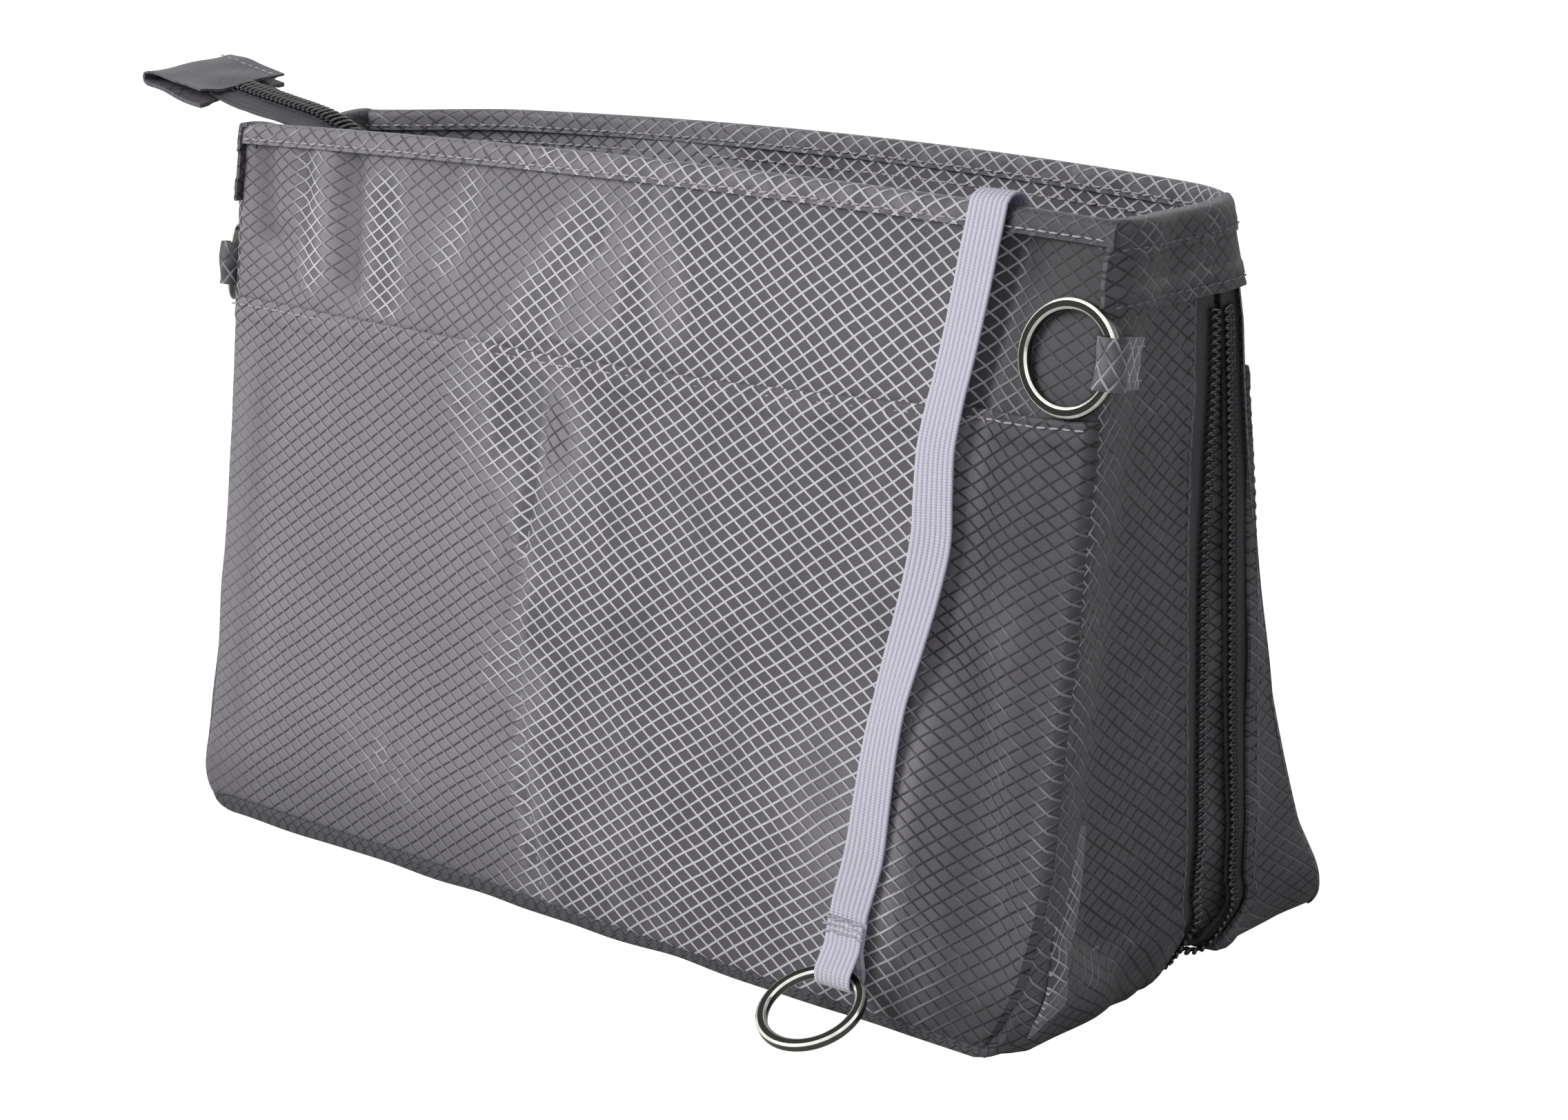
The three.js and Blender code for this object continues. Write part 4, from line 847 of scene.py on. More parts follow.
@once("materials", "ripstop_front")
def ripstop(name="ripstop_front", tone=1.0, lit=None):
    """Grey nylon ripstop with painted light: its grid lines are painted lit or dark where the piece's own catch
    attribute says so, painted glare washes them out, and the whole colour is scaled by the painted shading.
    """
    s = bpy.context.scene.organizer_cloth
    material, n, p = new_material(name, {"Specular IOR Level": 0.3, "Sheen Weight": 0.03, "Sheen Roughness": 0.45})
    uv = n.cloth_place()
    if lit is None:
        first, second, painted_glare = n.add("ShaderNodeSeparateXYZ", {0: n.attribute("catch", "Vector")}).outputs
        shade = n.times(n.attribute("tone"), tone)
    else:
        patch = n.noise(uv, 34.0, 2.0)
        first = n.ease(patch, 0.42, 0.6, lit[0] * 0.5, min(1.0, lit[0] * 1.5))
        second = n.ease(patch, 0.38, 0.62, lit[1] * 0.5, min(1.0, lit[1] * 1.5))
        painted_glare, shade = lit[2], tone
    grid = n.add("ShaderNodeGroup", {
        "Cloth": uv, "Cell Width": s.cell_width * 1000, "Cell Height": s.cell_height * 1000,
        "Line Width": s.line_width * 1000, "Threads": float(s.threads), "First Light": first,
        "Second Light": second}, node_tree=ripstop_group()).outputs
    cloudy = n.noise(n.object_place(), 38.0, 3.0)
    speck = n.scaled(n.noise(uv, 2600.0, 1.0), 0.26, 0.87)
    value = n.times(n.times(n.scaled(grid["Weave"], 0.14, 1.0), speck), n.scaled(cloudy, 0.3, 0.85))
    # Painted light: cells take the unlit colour where the lines are painted lit, and the lit colour where the lines are
    # painted dark
    cell = n.shaded(n.blend(n.times(first, second), tuple(s.cell_bright), tuple(s.cell_unlit)), value)
    seen = n.minus(1.0, n.times(painted_glare, 0.8))
    colour = n.blend(n.times(grid["Dark"], seen), cell, tuple(s.line_dark))
    colour = n.blend(n.times(grid["Bright"], seen), colour, tuple(s.line_bright))
    n.surface(p, n.shaded(colour, shade),
              n.scaled(grid["Lines"], -0.12, n.scaled(cloudy, 0.12, 0.46)), (0.7, 0.001, grid["Height"]))
    return material


@once("node_groups", "herringbone")
def herringbone_group():
    group, n, given, out = node_group(
        "herringbone", [("Cloth", "Vector"), ("Column", "Float", 1.7), ("Thread", "Float", 0.42)],
        [("Threads", "Float")])
    parts = n.add("ShaderNodeSeparateXYZ", {0: given["Cloth"]}).outputs
    across = n.over(n.times(parts[0], 1000.0), given["Column"])
    slant = n.math("ABSOLUTE", n.minus(n.math("FRACT", across), 0.5))
    run = n.over(n.times(parts[1], 1000.0), given["Thread"])
    lean = n.times(slant, n.over(n.times(given["Column"], 1.6), given["Thread"]))
    wave = n.math("SINE", n.times(n.math("ADD", run, lean), 2 * math.pi))
    n.plug(out["Threads"], n.scaled(wave, 0.5, 0.5))
    return group


@once("materials", "zip_tape_cloth")
def tape_cloth(name="zip_tape_cloth", colour=(104, 103, 109)):
    material, n, p = new_material(name, {"Sheen Weight": 0.15})
    uv = n.cloth_place()
    weave = n.add("ShaderNodeGroup", {"Cloth": uv}, node_tree=herringbone_group()).outputs[0]
    dark, light = toned(colour, 0.6), toned(colour, 1.25)
    fuzz = n.noise(uv, 1800.0, 2.0)
    n.surface(p, n.blend(n.times(weave, n.scaled(fuzz, 0.6, 0.6)), dark, light),
              n.scaled(weave, -0.1, 0.82), (0.8, 0.00025, weave))
    return material


@once("materials", "zip_coil_plastic")
def coil_plastic():
    material, n, p = new_material("zip_coil_plastic", {"Specular IOR Level": 0.6, "Coat Weight": 0.25,
                                                       "Coat Roughness": 0.18})
    patch = n.noise(n.object_place(), 420.0, 2.0)
    n.surface(p, n.blend(patch, srgb(38, 38, 42), srgb(76, 76, 82)), n.scaled(patch, 0.16, 0.2))
    return material


@once("materials")
def thread(name, colour):
    material, n, p = new_material(name)
    place = n.object_place()
    strands, patch = n.noise(place, 3000.0, 2.0), n.noise(place, 90.0, 1.0)
    shade = n.blend(strands, toned(colour, 0.72), toned(colour, 1.18))
    n.surface(p, n.blend(n.times(patch, 0.35), shade, toned(colour, 0.7)),
              n.scaled(strands, 0.2, 0.5), (0.4, 0.0001, strands))
    return material


@once("materials", "ribbed_elastic")
def elastic():
    s = bpy.context.scene.organizer_strap
    material, n, p = new_material("ribbed_elastic", {"Sheen Weight": 0.2})
    uv = n.add("ShaderNodeSeparateXYZ", {0: n.cloth_place()}).outputs
    knit = n.math("SINE", n.times(uv[1], 2 * math.pi / 0.00062))
    fuzz = n.noise(n.object_place(), 1500.0, 2.0)
    # Painted shade in the grooves: low rib values blend towards the darker groove colour
    value = n.scaled(n.times(knit, 0.5), 0.12, n.attribute("rib"))
    value = n.math("ADD", value, n.scaled(fuzz, 0.3, -0.15), clamp=True)
    n.surface(p, n.blend(value, tuple(s.groove_shade), tuple(s.colour)),
              n.scaled(fuzz, 0.2, 0.68), (0.5, 0.00012, n.math("ADD", knit, fuzz)))
    return material


@once("materials")
def metal(name, bright, dark, rough):
    """Plated metal with painted reflections: edges painted bright and flats painted dark, as an attribute of the piece
    says, and the same value makes the edges slightly less rough.
    """
    material, n, p = new_material(name, {"Metallic": 1.0})
    place, polish_and_glint = n.object_place(), n.attribute("polish_and_glint")
    stain = n.noise(place, 260.0, 4.0, 0.6)
    scratch = n.noise(n.add("ShaderNodeMapping", {"Vector": place, "Scale": (1.0, 1.0, 9.0)}).outputs[0], 900.0, 2.0)
    amount = n.times(polish_and_glint, n.ease(stain, 0.3, 0.7, 0.75, 1.0))
    n.surface(p, n.blend(amount, srgb(*dark), srgb(*bright)),
              n.scaled(scratch, 0.14, n.scaled(polish_and_glint, -0.08, rough)), (0.15, 0.0001, scratch))
    return material


@once("materials", "foam_padding")
def foam_padding():
    material, n, p = new_material("foam_padding")
    cells = n.add("ShaderNodeTexVoronoi", {"Vector": n.object_place(), "Scale": 1400.0}).outputs["Distance"]
    n.surface(p, n.blend(cells, srgb(176, 172, 164), srgb(222, 219, 210)),
              n.scaled(cells, -0.1, 0.95), (0.5, 0.0002, cells))
    return material


# What a maker would change

class ClothSettings(bpy.types.PropertyGroup):
    cell_width: FloatProperty(
        name="Cell width", description="Width of one cell of the ripstop grid", default=0.00537, min=0.001,
        unit="LENGTH", subtype="DISTANCE")
    cell_height: FloatProperty(
        name="Cell height", description="Height of one cell of the ripstop grid", default=0.00369, min=0.001,
        unit="LENGTH", subtype="DISTANCE")
    line_width: FloatProperty(
        name="Line width", description="Thickness of the grid's heavier threads", default=0.00045, min=0.0001,
        unit="LENGTH", subtype="DISTANCE")
    threads: IntProperty(name="Threads", description="Fine threads across one cell", default=8, min=2)
    # The four grid colours are painted light: lit and unlit versions of one grey ripstop, picked by the painted catch
    # values
    cell_bright: FloatVectorProperty(
        name="Cell, lit", description="Cloth between dark grid lines", default=srgb(155, 151, 158), size=3,
        subtype="COLOR", min=0, max=1)
    cell_unlit: FloatVectorProperty(
        name="Cell, dull", description="Cloth between bright grid lines", default=srgb(106, 102, 107), size=3,
        subtype="COLOR", min=0, max=1)
    line_bright: FloatVectorProperty(
        name="Line, lit", description="Grid threads that catch the light", default=srgb(236, 234, 240), size=3,
        subtype="COLOR", min=0, max=1)
    line_dark: FloatVectorProperty(
        name="Line, dark", description="Grid threads that don't catch the light", default=srgb(40, 37, 42), size=3,
        subtype="COLOR", min=0, max=1)


class SewingSettings(bpy.types.PropertyGroup):
    spacing: FloatProperty(
        name="Stitch spacing", description="Distance from one stitch to the next", default=0.0030, min=0.001,
        unit="LENGTH", subtype="DISTANCE")
    size: FloatProperty(
        name="Stitch size", description="Size of a stitch against a 2.3 mm one", default=1.0, min=0.2, max=3,
        subtype="FACTOR")
    uneven: FloatProperty(
        name="Unevenness", description="How much stitches differ from each other", default=0.13, min=0, max=1,
        subtype="FACTOR")
    seed: IntProperty(name="Seed", description="Which uneven set of stitches is made", default=4)


class StrapSettings(bpy.types.PropertyGroup):
    width: FloatProperty(
        name="Strap width", description="Width of the elastic", default=0.010, min=0.004, unit="LENGTH",
        subtype="DISTANCE")
    thickness: FloatProperty(
        name="Strap thickness", description="Thickness of the elastic", default=0.001, min=0.0003, unit="LENGTH",
        subtype="DISTANCE")
    ribs: IntProperty(name="Ribs", description="Cords across the elastic", default=8, min=1)
    colour: FloatVectorProperty(
        name="Elastic", description="Colour of the ribs", default=srgb(247, 245, 255), size=3, subtype="COLOR",
        min=0, max=1)
    # Painted shade: the grooves between the ribs are painted darker than the white elastic
    groove_shade: FloatVectorProperty(
        name="Grooves", description="Colour between the ribs", default=srgb(200, 197, 228), size=3, subtype="COLOR",
        min=0, max=1)


class ZipSettings(bpy.types.PropertyGroup):
    pitch: FloatProperty(
        name="Coil pitch", description="Length of one turn of the coil", default=0.00186, min=0.0008, unit="LENGTH",
        subtype="DISTANCE")
    wire: FloatProperty(
        name="Coil wire", description="Thickness of the coil's filament", default=0.00098, min=0.0003,
        unit="LENGTH", subtype="DISTANCE")
    width: FloatProperty(
        name="Coil width", description="Width of a coil row at its wire's centre", default=0.0030, min=0.001,
        unit="LENGTH", subtype="DISTANCE")


class StageSettings(bpy.types.PropertyGroup):
    key_light: FloatProperty(
        name="Key light", description="Power of the soft light at the front left", default=13.6, min=0,
        unit="POWER")
    fill_light: FloatProperty(
        name="Fill light", description="Power of the soft light from the right", default=0.3, min=0, unit="POWER")
    sky: FloatProperty(name="Room light", description="Strength of the light from all round", default=0.2, min=0)


# Pieces

def finished(*pieces_made):
    if not all(pieces_made):
        raise RuntimeError("a piece wasn't made")
    return {"FINISHED"}


class ORGANIZER_OT_camera(bpy.types.Operator):
    """Sets the camera where the bag is seen from its front right, a little from above"""
    bl_idname = "organizer.camera"
    bl_label = "Camera"

    def execute(self, context):
        data = bpy.data.cameras.new("camera")
        data.lens, data.sensor_width = 72.74, 36.0
        data.clip_start, data.clip_end = 0.01, 20
        camera = in_scene("camera", data)
        camera.location = (0.5010, -0.5660, 0.2700)
        camera.rotation_euler = (math.radians(90 - 14.32), 0, math.radians(40.64))
        context.scene.camera = camera
        return finished(camera)


def strap_section(width, thickness, ribs):
    """The ribbed section of the elastic, with how raised each point is, which also sets the painted shade in its
    grooves.
    """
    t = np.linspace(-1, 1, ribs * 6 + 1)
    edge = np.sqrt(np.maximum(0, 1 - np.abs(t) ** 10))
    rib = np.abs(np.sin(math.pi * ribs * (t + 1) / 2))
    high = thickness / 2 * (0.35 + 0.65 * edge) * (0.62 + 0.38 * rib ** 0.6)
    top = np.stack([t * width / 2, high], axis=1)
    low = np.stack([t[::-1] * width / 2, -high[::-1]], axis=1)
    return np.vstack([top, low]), np.concatenate([rib, rib[::-1]]) ** 0.7


class ORGANIZER_OT_key_strap(bpy.types.Operator):
    """Makes the flat elastic strap, the fold at its end and its anchor patch"""
    bl_idname = "organizer.key_strap"
    bl_label = "Key strap"

    def execute(self, context):
        s = context.scene.organizer_strap
        path = curve_through(STRAP_ROUTE, 1.6)
        run = lengths_along(path)
        roll = np.interp(run, [0, 30, 60, 95, 130, 165, 200, run[-1]], [0, 0, 4, -9, 8, -7, 3, 0])
        across, up = frames_along(path, (1, 0, 0))
        turn = np.radians(roll)[:, None]
        across, up = across * np.cos(turn) + up * np.sin(turn), up * np.cos(turn) - across * np.sin(turn)
        section, rib = strap_section(s.width / MM, s.thickness / MM, s.ribs)
        strap = swept("elastic_key_strap", path, across, up, section, elastic(), {"rib": rib})
        placed(strap, "front_half", "key_strap", slot="elastic")
        loop = [(-0.62, 11.7), (-0.62, 8.5), (-0.75, 6.0), (-1.7, 3.4), (-2.72, 0.4), (-2.0, -1.95), (0, -2.75),
                (2.0, -1.95), (2.72, 0.4), (1.7, 3.4), (0.75, 6.0), (0.62, 8.5), (0.62, 12.4)]
        tilt = math.radians(13)
        rise = np.array([0, math.sin(tilt), math.cos(tilt)])
        out = np.array([0, math.cos(tilt), -math.sin(tilt)])
        fold_path = curve_through([KEY_AXIS + out * a + rise * b for a, b in loop], 0.7)
        narrow, rib = strap_section(s.width / MM, 0.82, s.ribs)
        fold = swept("elastic_fold_round_ring", fold_path, *frames_along(fold_path, (1, 0, 0)), narrow, elastic(),
                     {"rib": rib})
        placed(fold, "front_half", "key_strap_fold", slot="elastic")
        x = np.linspace(-4.6, 4.6, 6)[:, None]
        lines = [(KEY_AXIS + rise * (z - KEY_AXIS[2]) + np.array([1.0, 0, 0]) * x
                  - out * (1.22 + 0.1 * np.abs(x) / 4) + rise * 0.25 * np.sin(x * 2 + z), -out)
                 for z in (20.2, 21.6, 23.0)]
        tack = repeated("elastic_bar_tack", lines, stitch_shape(), 1.75, thread(*WHITE_THREAD), 0.95, 0.2, 8)
        placed(tack, "front_half")
        x, z = np.meshgrid(np.linspace(98, 110, 13), np.linspace(158, 166, 9))
        deep = lining_depth(z, True) + GAP
        patch = cloth_piece("strap_anchor_patch", front_wall(x, z, deep), front_wall(x, z, deep + 1.2), grid_uv(x, z),
                            ripstop(*INSIDE))
        placed(patch, "front_half", "key_strap_anchor", slot="ripstop_cloth")
        return finished(strap, fold, tack, patch)


class ORGANIZER_OT_stage(bpy.types.Operator):
    """Makes the pale floor, the white surroundings and the soft studio lights"""
    bl_idname = "organizer.stage"
    bl_label = "Stage and lights"

    def execute(self, context):
        s = context.scene.organizer_stage
        material, n, _ = new_material("pale_floor", {"Base Color": (0.9, 0.9, 0.9, 1), "Roughness": 0.9,
                                                     "Specular IOR Level": 0.1})
        path = n.add("ShaderNodeLightPath")
        glow = n.add("ShaderNodeEmission", {"Color": (1, 1, 1, 1), "Strength": 1.25})
        seen = n.math("MULTIPLY", path.outputs["Is Camera Ray"], 0.9)
        nodes = material.node_tree.nodes
        shader = n.add("ShaderNodeMixShader", {0: seen, 1: nodes["Principled BSDF"].outputs[0], 2: glow.outputs[0]})
        n.plug(nodes["Material Output"].inputs[0], shader.outputs[0])
        mesh = bpy.data.meshes.new("floor")
        mesh.from_pydata([(6 * a, 6 * b, -0.0004) for a, b in ((-1, -1), (1, -1), (1, 1), (-1, 1))], [],
                         [(0, 1, 2, 3)])
        mesh.materials.append(material)
        floor = in_scene("floor", mesh)
        world = bpy.data.worlds.new("surroundings")
        world.use_nodes = True
        w = Nodes(world.node_tree)
        rays = w.add("ShaderNodeLightPath").outputs
        shown = w.math("MAXIMUM", rays["Is Camera Ray"],
                       w.math("MAXIMUM", rays["Is Glossy Ray"], rays["Is Transmission Ray"]))
        background = world.node_tree.nodes["Background"].inputs
        background["Color"].default_value = (1, 1, 1, 1)
        w.plug(background["Strength"], w.scaled(shown, 1.0 - s.sky, s.sky))
        context.scene.world = world
        lamps = []
        for name, place, aim, size, power in (
                ("key_light", (-0.55, -1.25, 0.95), (0, -0.02, 0.09), 0.9, s.key_light),
                ("fill_light", (1.5, -0.2, 0.7), (0.1, 0, 0.09), 1.2, s.fill_light)):
            data = bpy.data.lights.new(name, "AREA")
            data.size, data.energy = size, power
            lamp = in_scene(name, data)
            lamp.location = place
            lamp.rotation_euler = (Vector(aim) - Vector(place)).to_track_quat("-Z", "Y").to_euler()
            lamps.append(lamp)
        context.scene.view_settings.view_transform = "Standard"
        return finished(floor, *lamps)


def lining_depth(z, inner=False):
    foam = mix(FOAM, GAP, clip01((z - 160) / 7))
    return CLOTH + GAP + foam + GAP + (CLOTH if inner else 0)


def wall_rows(bottom, top, step):
    """Heights of a wall's rows: close together round its bottom corners, then a step apart."""
    radius = CORNER - bottom
    arc = CORNER - radius * np.cos(np.linspace(0, math.pi / 2, 12))
    up = np.linspace(CORNER, top, max(2, round((top - CORNER) / step)) + 1)
    return np.concatenate([arc[:-1], up])


def wall_grid(side, rows, columns, inset):
    t = np.linspace(-1, 1, columns)
    t = np.sign(t) * (1 - (1 - np.abs(t)) ** 1.12)
    left, right = (wall_reach(side, np.full_like(rows, end), rows, inset) for end in (-1.0, 1.0))
    return np.where(t[None] < 0, left[:, None], right[:, None]) * t[None], rows[:, None] + 0 * t[None]


def wall_piece(name, side, swell, rows, columns, inset, outer, inner, material, roll=2.2, light=None, shift=(0.0, 0.0),
               shape=None):
    """A wall's cloth between two depths, swelled, with its edges rolled in to the seams."""
    wall = front_wall if side == "front" else back_wall
    x, z = wall_grid(side, rows, columns, inset)
    reach = wall_reach(side, x, z, inset)
    lift = swell(x, z) * smooth((HEIGHT + 2 - z) / 8)
    lift = lift * smooth(np.minimum(wall_reach(side, x, z, 0) - np.abs(x), z - WALL_FOOT) / 14)
    fall = edge_fall(reach, x, z, roll) if roll else 0
    level = z + (base_rise(x, z) if side == "front" else 0)
    level = shape(x, level) if shape else level
    points = [wall(x, level, depth(z) - lift + fall) for depth in (outer, inner)]
    uv = grid_uv(x + shift[0], level * 1.0106 + shift[1])
    return cloth_piece(name, *points, uv, material, lit_by(light(x, z)) if light else None)


class ORGANIZER_OT_walls(bpy.types.Operator):
    """Makes the front and back walls: outer cloth, padding and lining"""
    bl_idname = "organizer.walls"
    bl_label = "Walls"

    def execute(self, context):
        rows, inner_rows = wall_rows(WALL_FOOT, HEIGHT, 2.0), wall_rows(4.0, HEIGHT, 4.0)
        foam_rows = wall_rows(4.0, FOAM_TOP, 4.0)
        made = []

        # Painted light on the linings: grid lines painted lit in patches, and painted shading of 0.9
        def inner_light(x, z):
            rough = 16 * waves(x, z, 5, 30)
            return smooth((x + 70 + rough) / 30), smooth((x + 40 + rough) / 30) * smooth((150 - x) / 60), 0, 0.9

        # Painted light on the back wall: lit grid lines, painted glare and painted shade towards the right end
        def back_light(x, z):
            rough = 18 * waves(x, z, 31, 34)
            first = smooth((40 - x + rough) / 24) * smooth((x + 130) / 50)
            tone = 1 - 0.12 * smooth((x - 100) / 20)
            return first, smooth((60 - x + rough) / 24), 0.3 * smooth((x - 96) / 30), tone

        for side, swell, light, columns in (("front", front_swell, front_light, 150),
                                            ("back", back_swell, back_light, 120)):
            panel = wall_piece(f"{side}_wall_cloth", side, swell, rows, columns, 0, lambda z: 0, lambda z: CLOTH,
                               ripstop(), light=light)
            placed(panel, f"{side}_half", f"{side}_panel", slot="ripstop_cloth")
            foam = wall_piece(f"{side}_wall_padding", side, swell, foam_rows, 60, 4, lambda z: CLOTH + GAP,
                              lambda z: lining_depth(z) - GAP, foam_padding(), roll=0)
            placed(foam, f"{side}_half", f"{side}_foam", slot="foam")
            lining = wall_piece(f"{side}_wall_lining", side, swell, inner_rows, 90, 4, lining_depth,
                                lambda z: lining_depth(z, True), ripstop(), roll=0, light=inner_light,
                                shift=(2.3, 1.1))
            placed(lining, f"{side}_half", f"{side}_lining", slot="lining_cloth")
            made += [panel, foam, lining]
        return finished(*made)


class ORGANIZER_OT_pocket(bpy.types.Operator):
    """Makes the front pocket, its turned hem and its dividing seam"""
    bl_idname = "organizer.pocket"
    bl_label = "Front pocket"

    def execute(self, context):
        rows = np.concatenate([wall_rows(WALL_FOOT, 127.6, 2.0), [127.95, 128.25, 129, 130, 131, 132, 133, 133.6, 134]])

        def outer(z):
            hem = smooth((z - 127.7) / 1.2)
            stitch = 0.28 * np.exp(-((z - POCKET_SEAM) / 0.45) ** 2)
            return -GAP - 0.7 - 0.35 * hem + stitch + 0.35 * smooth((z - 133.4) / 0.6)

        def pocket_swell(x, z):
            mouth = smooth((z - 100) / 34)
            off = np.abs(x - divider_x(z))
            return front_swell(x, z) + 0.5 * mouth * smooth(off / 30) * smooth((130 - np.abs(x)) / 40)

        pocket = wall_piece("front_pocket_cloth", "front", pocket_swell, rows, 150, 0, outer,
                            lambda z: -GAP, ripstop(), light=front_light, shift=(1.7, 0.9), shape=mouth_line)
        placed(pocket, "front_half", "front_pocket", slot="ripstop_cloth")
        return finished(pocket)


def mouth_line(x, z):
    """The pocket's mouth dips near the middle and rises at its right end."""
    dip = np.interp(x, [-137, -90, -18, 40, 95, 137], [0, -1.2, -2.4, -1.6, 0.9, 3.0])
    return z + dip * smooth((z - 60) / 70)


def hem_profile(depth_out, depth_in, top, low, radius):
    """A hem's line over the rim: up the outside, round, across and down the inside, as depth and height."""
    turn = np.linspace(0, math.pi / 2, 5)
    out = [(depth_out, low), (depth_out, mix(low, top - radius, 0.5))]
    out += [(depth_out + radius * (1 - math.cos(t)), top - radius * (1 - math.sin(t))) for t in turn]
    out += [(mix(depth_out + radius, depth_in - radius, 0.5), top + 0.05)]
    out += [(depth_in - radius * (1 - math.sin(t)), top - radius * (1 - math.cos(t))) for t in turn]
    out += [(depth_in, mix(low, top - radius, 0.5)), (depth_in, low)]
    return np.array(out)


class ORGANIZER_OT_rim(bpy.types.Operator):
    """Makes the turned hems along the front and back rims and the bands round the two ends"""
    bl_idname = "organizer.rim"
    bl_label = "Rim hems and end bands"

    def execute(self, context):
        made = []
        deep = lining_depth(HEIGHT, True)
        for side, wall, reach, sign in (("front", front_wall, RIM_HALF + 0.8, 1),
                                        ("back", back_wall, RIM_HALF + END_BOW + 0.2, -1)):
            x = np.linspace(-1, 1, 170) * reach
            grids = []
            for over, top, radius, pucker in ((GAP + 0.8, 1.1, 1.7, 0.12), (GAP, GAP, 1.1, 0)):
                line = []
                for depth, height in hem_profile(-over, deep + over, top, -HEM_SEEN, radius):
                    point = wall(x, np.full_like(x, HEIGHT + min(height, 0)), 0 * x)
                    fold = pucker * np.sin(2 * math.pi * x / 3.0) * np.exp(-((height + 3.2) / 1.5) ** 2)
                    point[:, 1] += sign * (depth - fold * (1 if depth < 1 else -1))
                    point[:, 2] += max(height, 0)
                    line.append(point)
                grids.append(np.stack(line, axis=1))
            over, along = np.meshgrid(lengths_along(hem_profile(-1.1, deep + 1.1, 1.1, -HEM_SEEN, 1.7)), x)
            rough, fine = waves(along, over, 41, 24), waves(along, over, 42, 7)
            # Painted light and shade on the hems: grid lines painted lit in patches, painted duller and darker right of
            # the strap at the front, with painted shading
            dull = 1 - 0.6 * smooth((along - 100) / 12) * (side == "front")
            light = dull * clip01(smooth((along + 60 + 20 * rough) / 20) * 0.7 + 0.3 * fine)
            other = dull * clip01(smooth((along + 20 + 20 * rough) / 20) * 0.7 + 0.3 * fine + 0.2)
            tone = (0.92 - 0.6 * smooth((along - 98) / 12)) if side == "front" else 0.8
            hem = cloth_piece(f"{side}_rim_binding", *grids, grid_uv(along, over + 171.2), ripstop(),
                              lit_by((light, other, 0.05 + 0.15 * smooth((-60 - along) / 50), tone)), crisp=60)
            placed(hem, f"{side}_half", f"{side}_rim_hem", slot="ripstop_cloth")
            made.append(hem)
        part = np.linspace(0, 1, 64)
        front_end = 1 - smooth(part * 54 / 2.6)
        turn = np.linspace(0, math.pi / 2, 5)
        for side, name, wrap_in, wrap_on in ((1, "right", 1.7, 0.9), (-1, "left", 0.3, 1.7)):
            grids = []
            for k, thick, radius in ((0, 0.0, 1.6), (1, -1.1, 0.7)):
                profile = [(BAND_BOTTOM + z, out + thick) for z, out in (
                    (0, 0.25), (0.6, 0.45), (2.2, 0.2), (2.8, 0.5), (5.2, 0.42), (5.9, 0.05), (6.8, 0), (9, 0), (11, 0),
                    (12.3, 0), (12.7, 0.6), (13.9, 0.35), (15, 0.7), (17, 0.6))]
                top, base, inner = 177.9 + thick, 0.6 + thick, -5.0 - thick
                profile += [(top - radius * (1 - math.sin(t)), base - radius * (1 - math.cos(t))) for t in turn]
                profile += [(top + 0.05, mix(base - radius, inner + 0.4, 0.5))]
                profile += [(top - radius * (1 - math.cos(t)), inner + radius * (1 - math.sin(t))) for t in turn]
                column = []
                for z, out in (*profile, (171.5, inner)):
                    reach, y, level = band_line(side, part, z, out)
                    if out > -2:
                        reach, y = reach - wrap_in * front_end, y - wrap_on * front_end
                    if out + k > -3:
                        seam = 0.18 * np.sin(part * 55 * 2 * math.pi / 3.1) * np.exp(-((z - BAND_SEAM) / 1.2) ** 2)
                        reach = reach + 0.25 * waves(part * 55, min(z, HEIGHT), 51 + side, 20) + seam
                    column.append(np.stack([side * reach, y, level], axis=1))
                grids.append(np.stack(column, axis=1))
            y, z = grids[0][..., 1], grids[0][..., 2]
            over = lengths_across(np.linalg.norm(np.diff(grids[0], axis=1), axis=2))
            # Painted light on the bands: unevenly lit grid lines, darker towards the back, some painted glare and
            # painted shading of 0.42
            sheen_mottle = 0.4 * waves(y, z, 61, 22) + 0.3 * waves(y, z, 62, 6)
            light = (clip01(0.25 + sheen_mottle - 0.3 * smooth((y + 4) / 14)),
                     clip01(0.2 + sheen_mottle - 0.3 * smooth((y + 8) / 14)), 0.1 + 0.15 * smooth(y / 12), 0.42)
            band = cloth_piece(f"{name}_end_band_cloth", *grids, grid_uv(y, over), ripstop(), lit_by(light), crisp=60)
            made.append(stretched(band, f"{name}_end_band", "ripstop_cloth", "front_half", "back_half", *BAND_GIVE))
        return finished(*made)


def band_line(side, part, z, out):
    """A level line across an end band from front to back: how far out it lies, and its y and z."""
    lower = np.full_like(part, min(z, HEIGHT))
    y = mix(front_y(lower), back_y(lower) - CLOTH, part)
    swell = bow(y, lower) + BAND_BOW * np.sin(math.pi * part) * share(lower)
    fall = BAND_DIP[side] * np.sin(math.pi * part) ** 2 * smooth((z - 160) / 14)
    return half_length(lower) + swell + BAND_STAND[side] + out, y, z - fall


def behind_front(z):
    return front_y(z) + CLOTH + GAP


def before_back(z):
    return back_y(z) - CLOTH - GAP


def gusset_ripple(knot_hem, seed):
    """Puckers at the stitched edge by the tape, and soft unevenness elsewhere."""
    def ripple(knot, run, y, z):
        near = np.exp(-((knot - knot_hem) / 1.2) ** 2)
        dy = near * (0.35 * waves(run, 0, seed, 17) + 0.12 * np.sin(run * 2 * math.pi / 3.4))
        lift = near * (0.28 * waves(run, 0, seed + 1, 12) + 0.1 * np.sin(run * 2 * math.pi / 3.1))
        return dy, lift + (1 - near) * 0.4 * waves(y, run, seed + 2, 40)
    return ripple


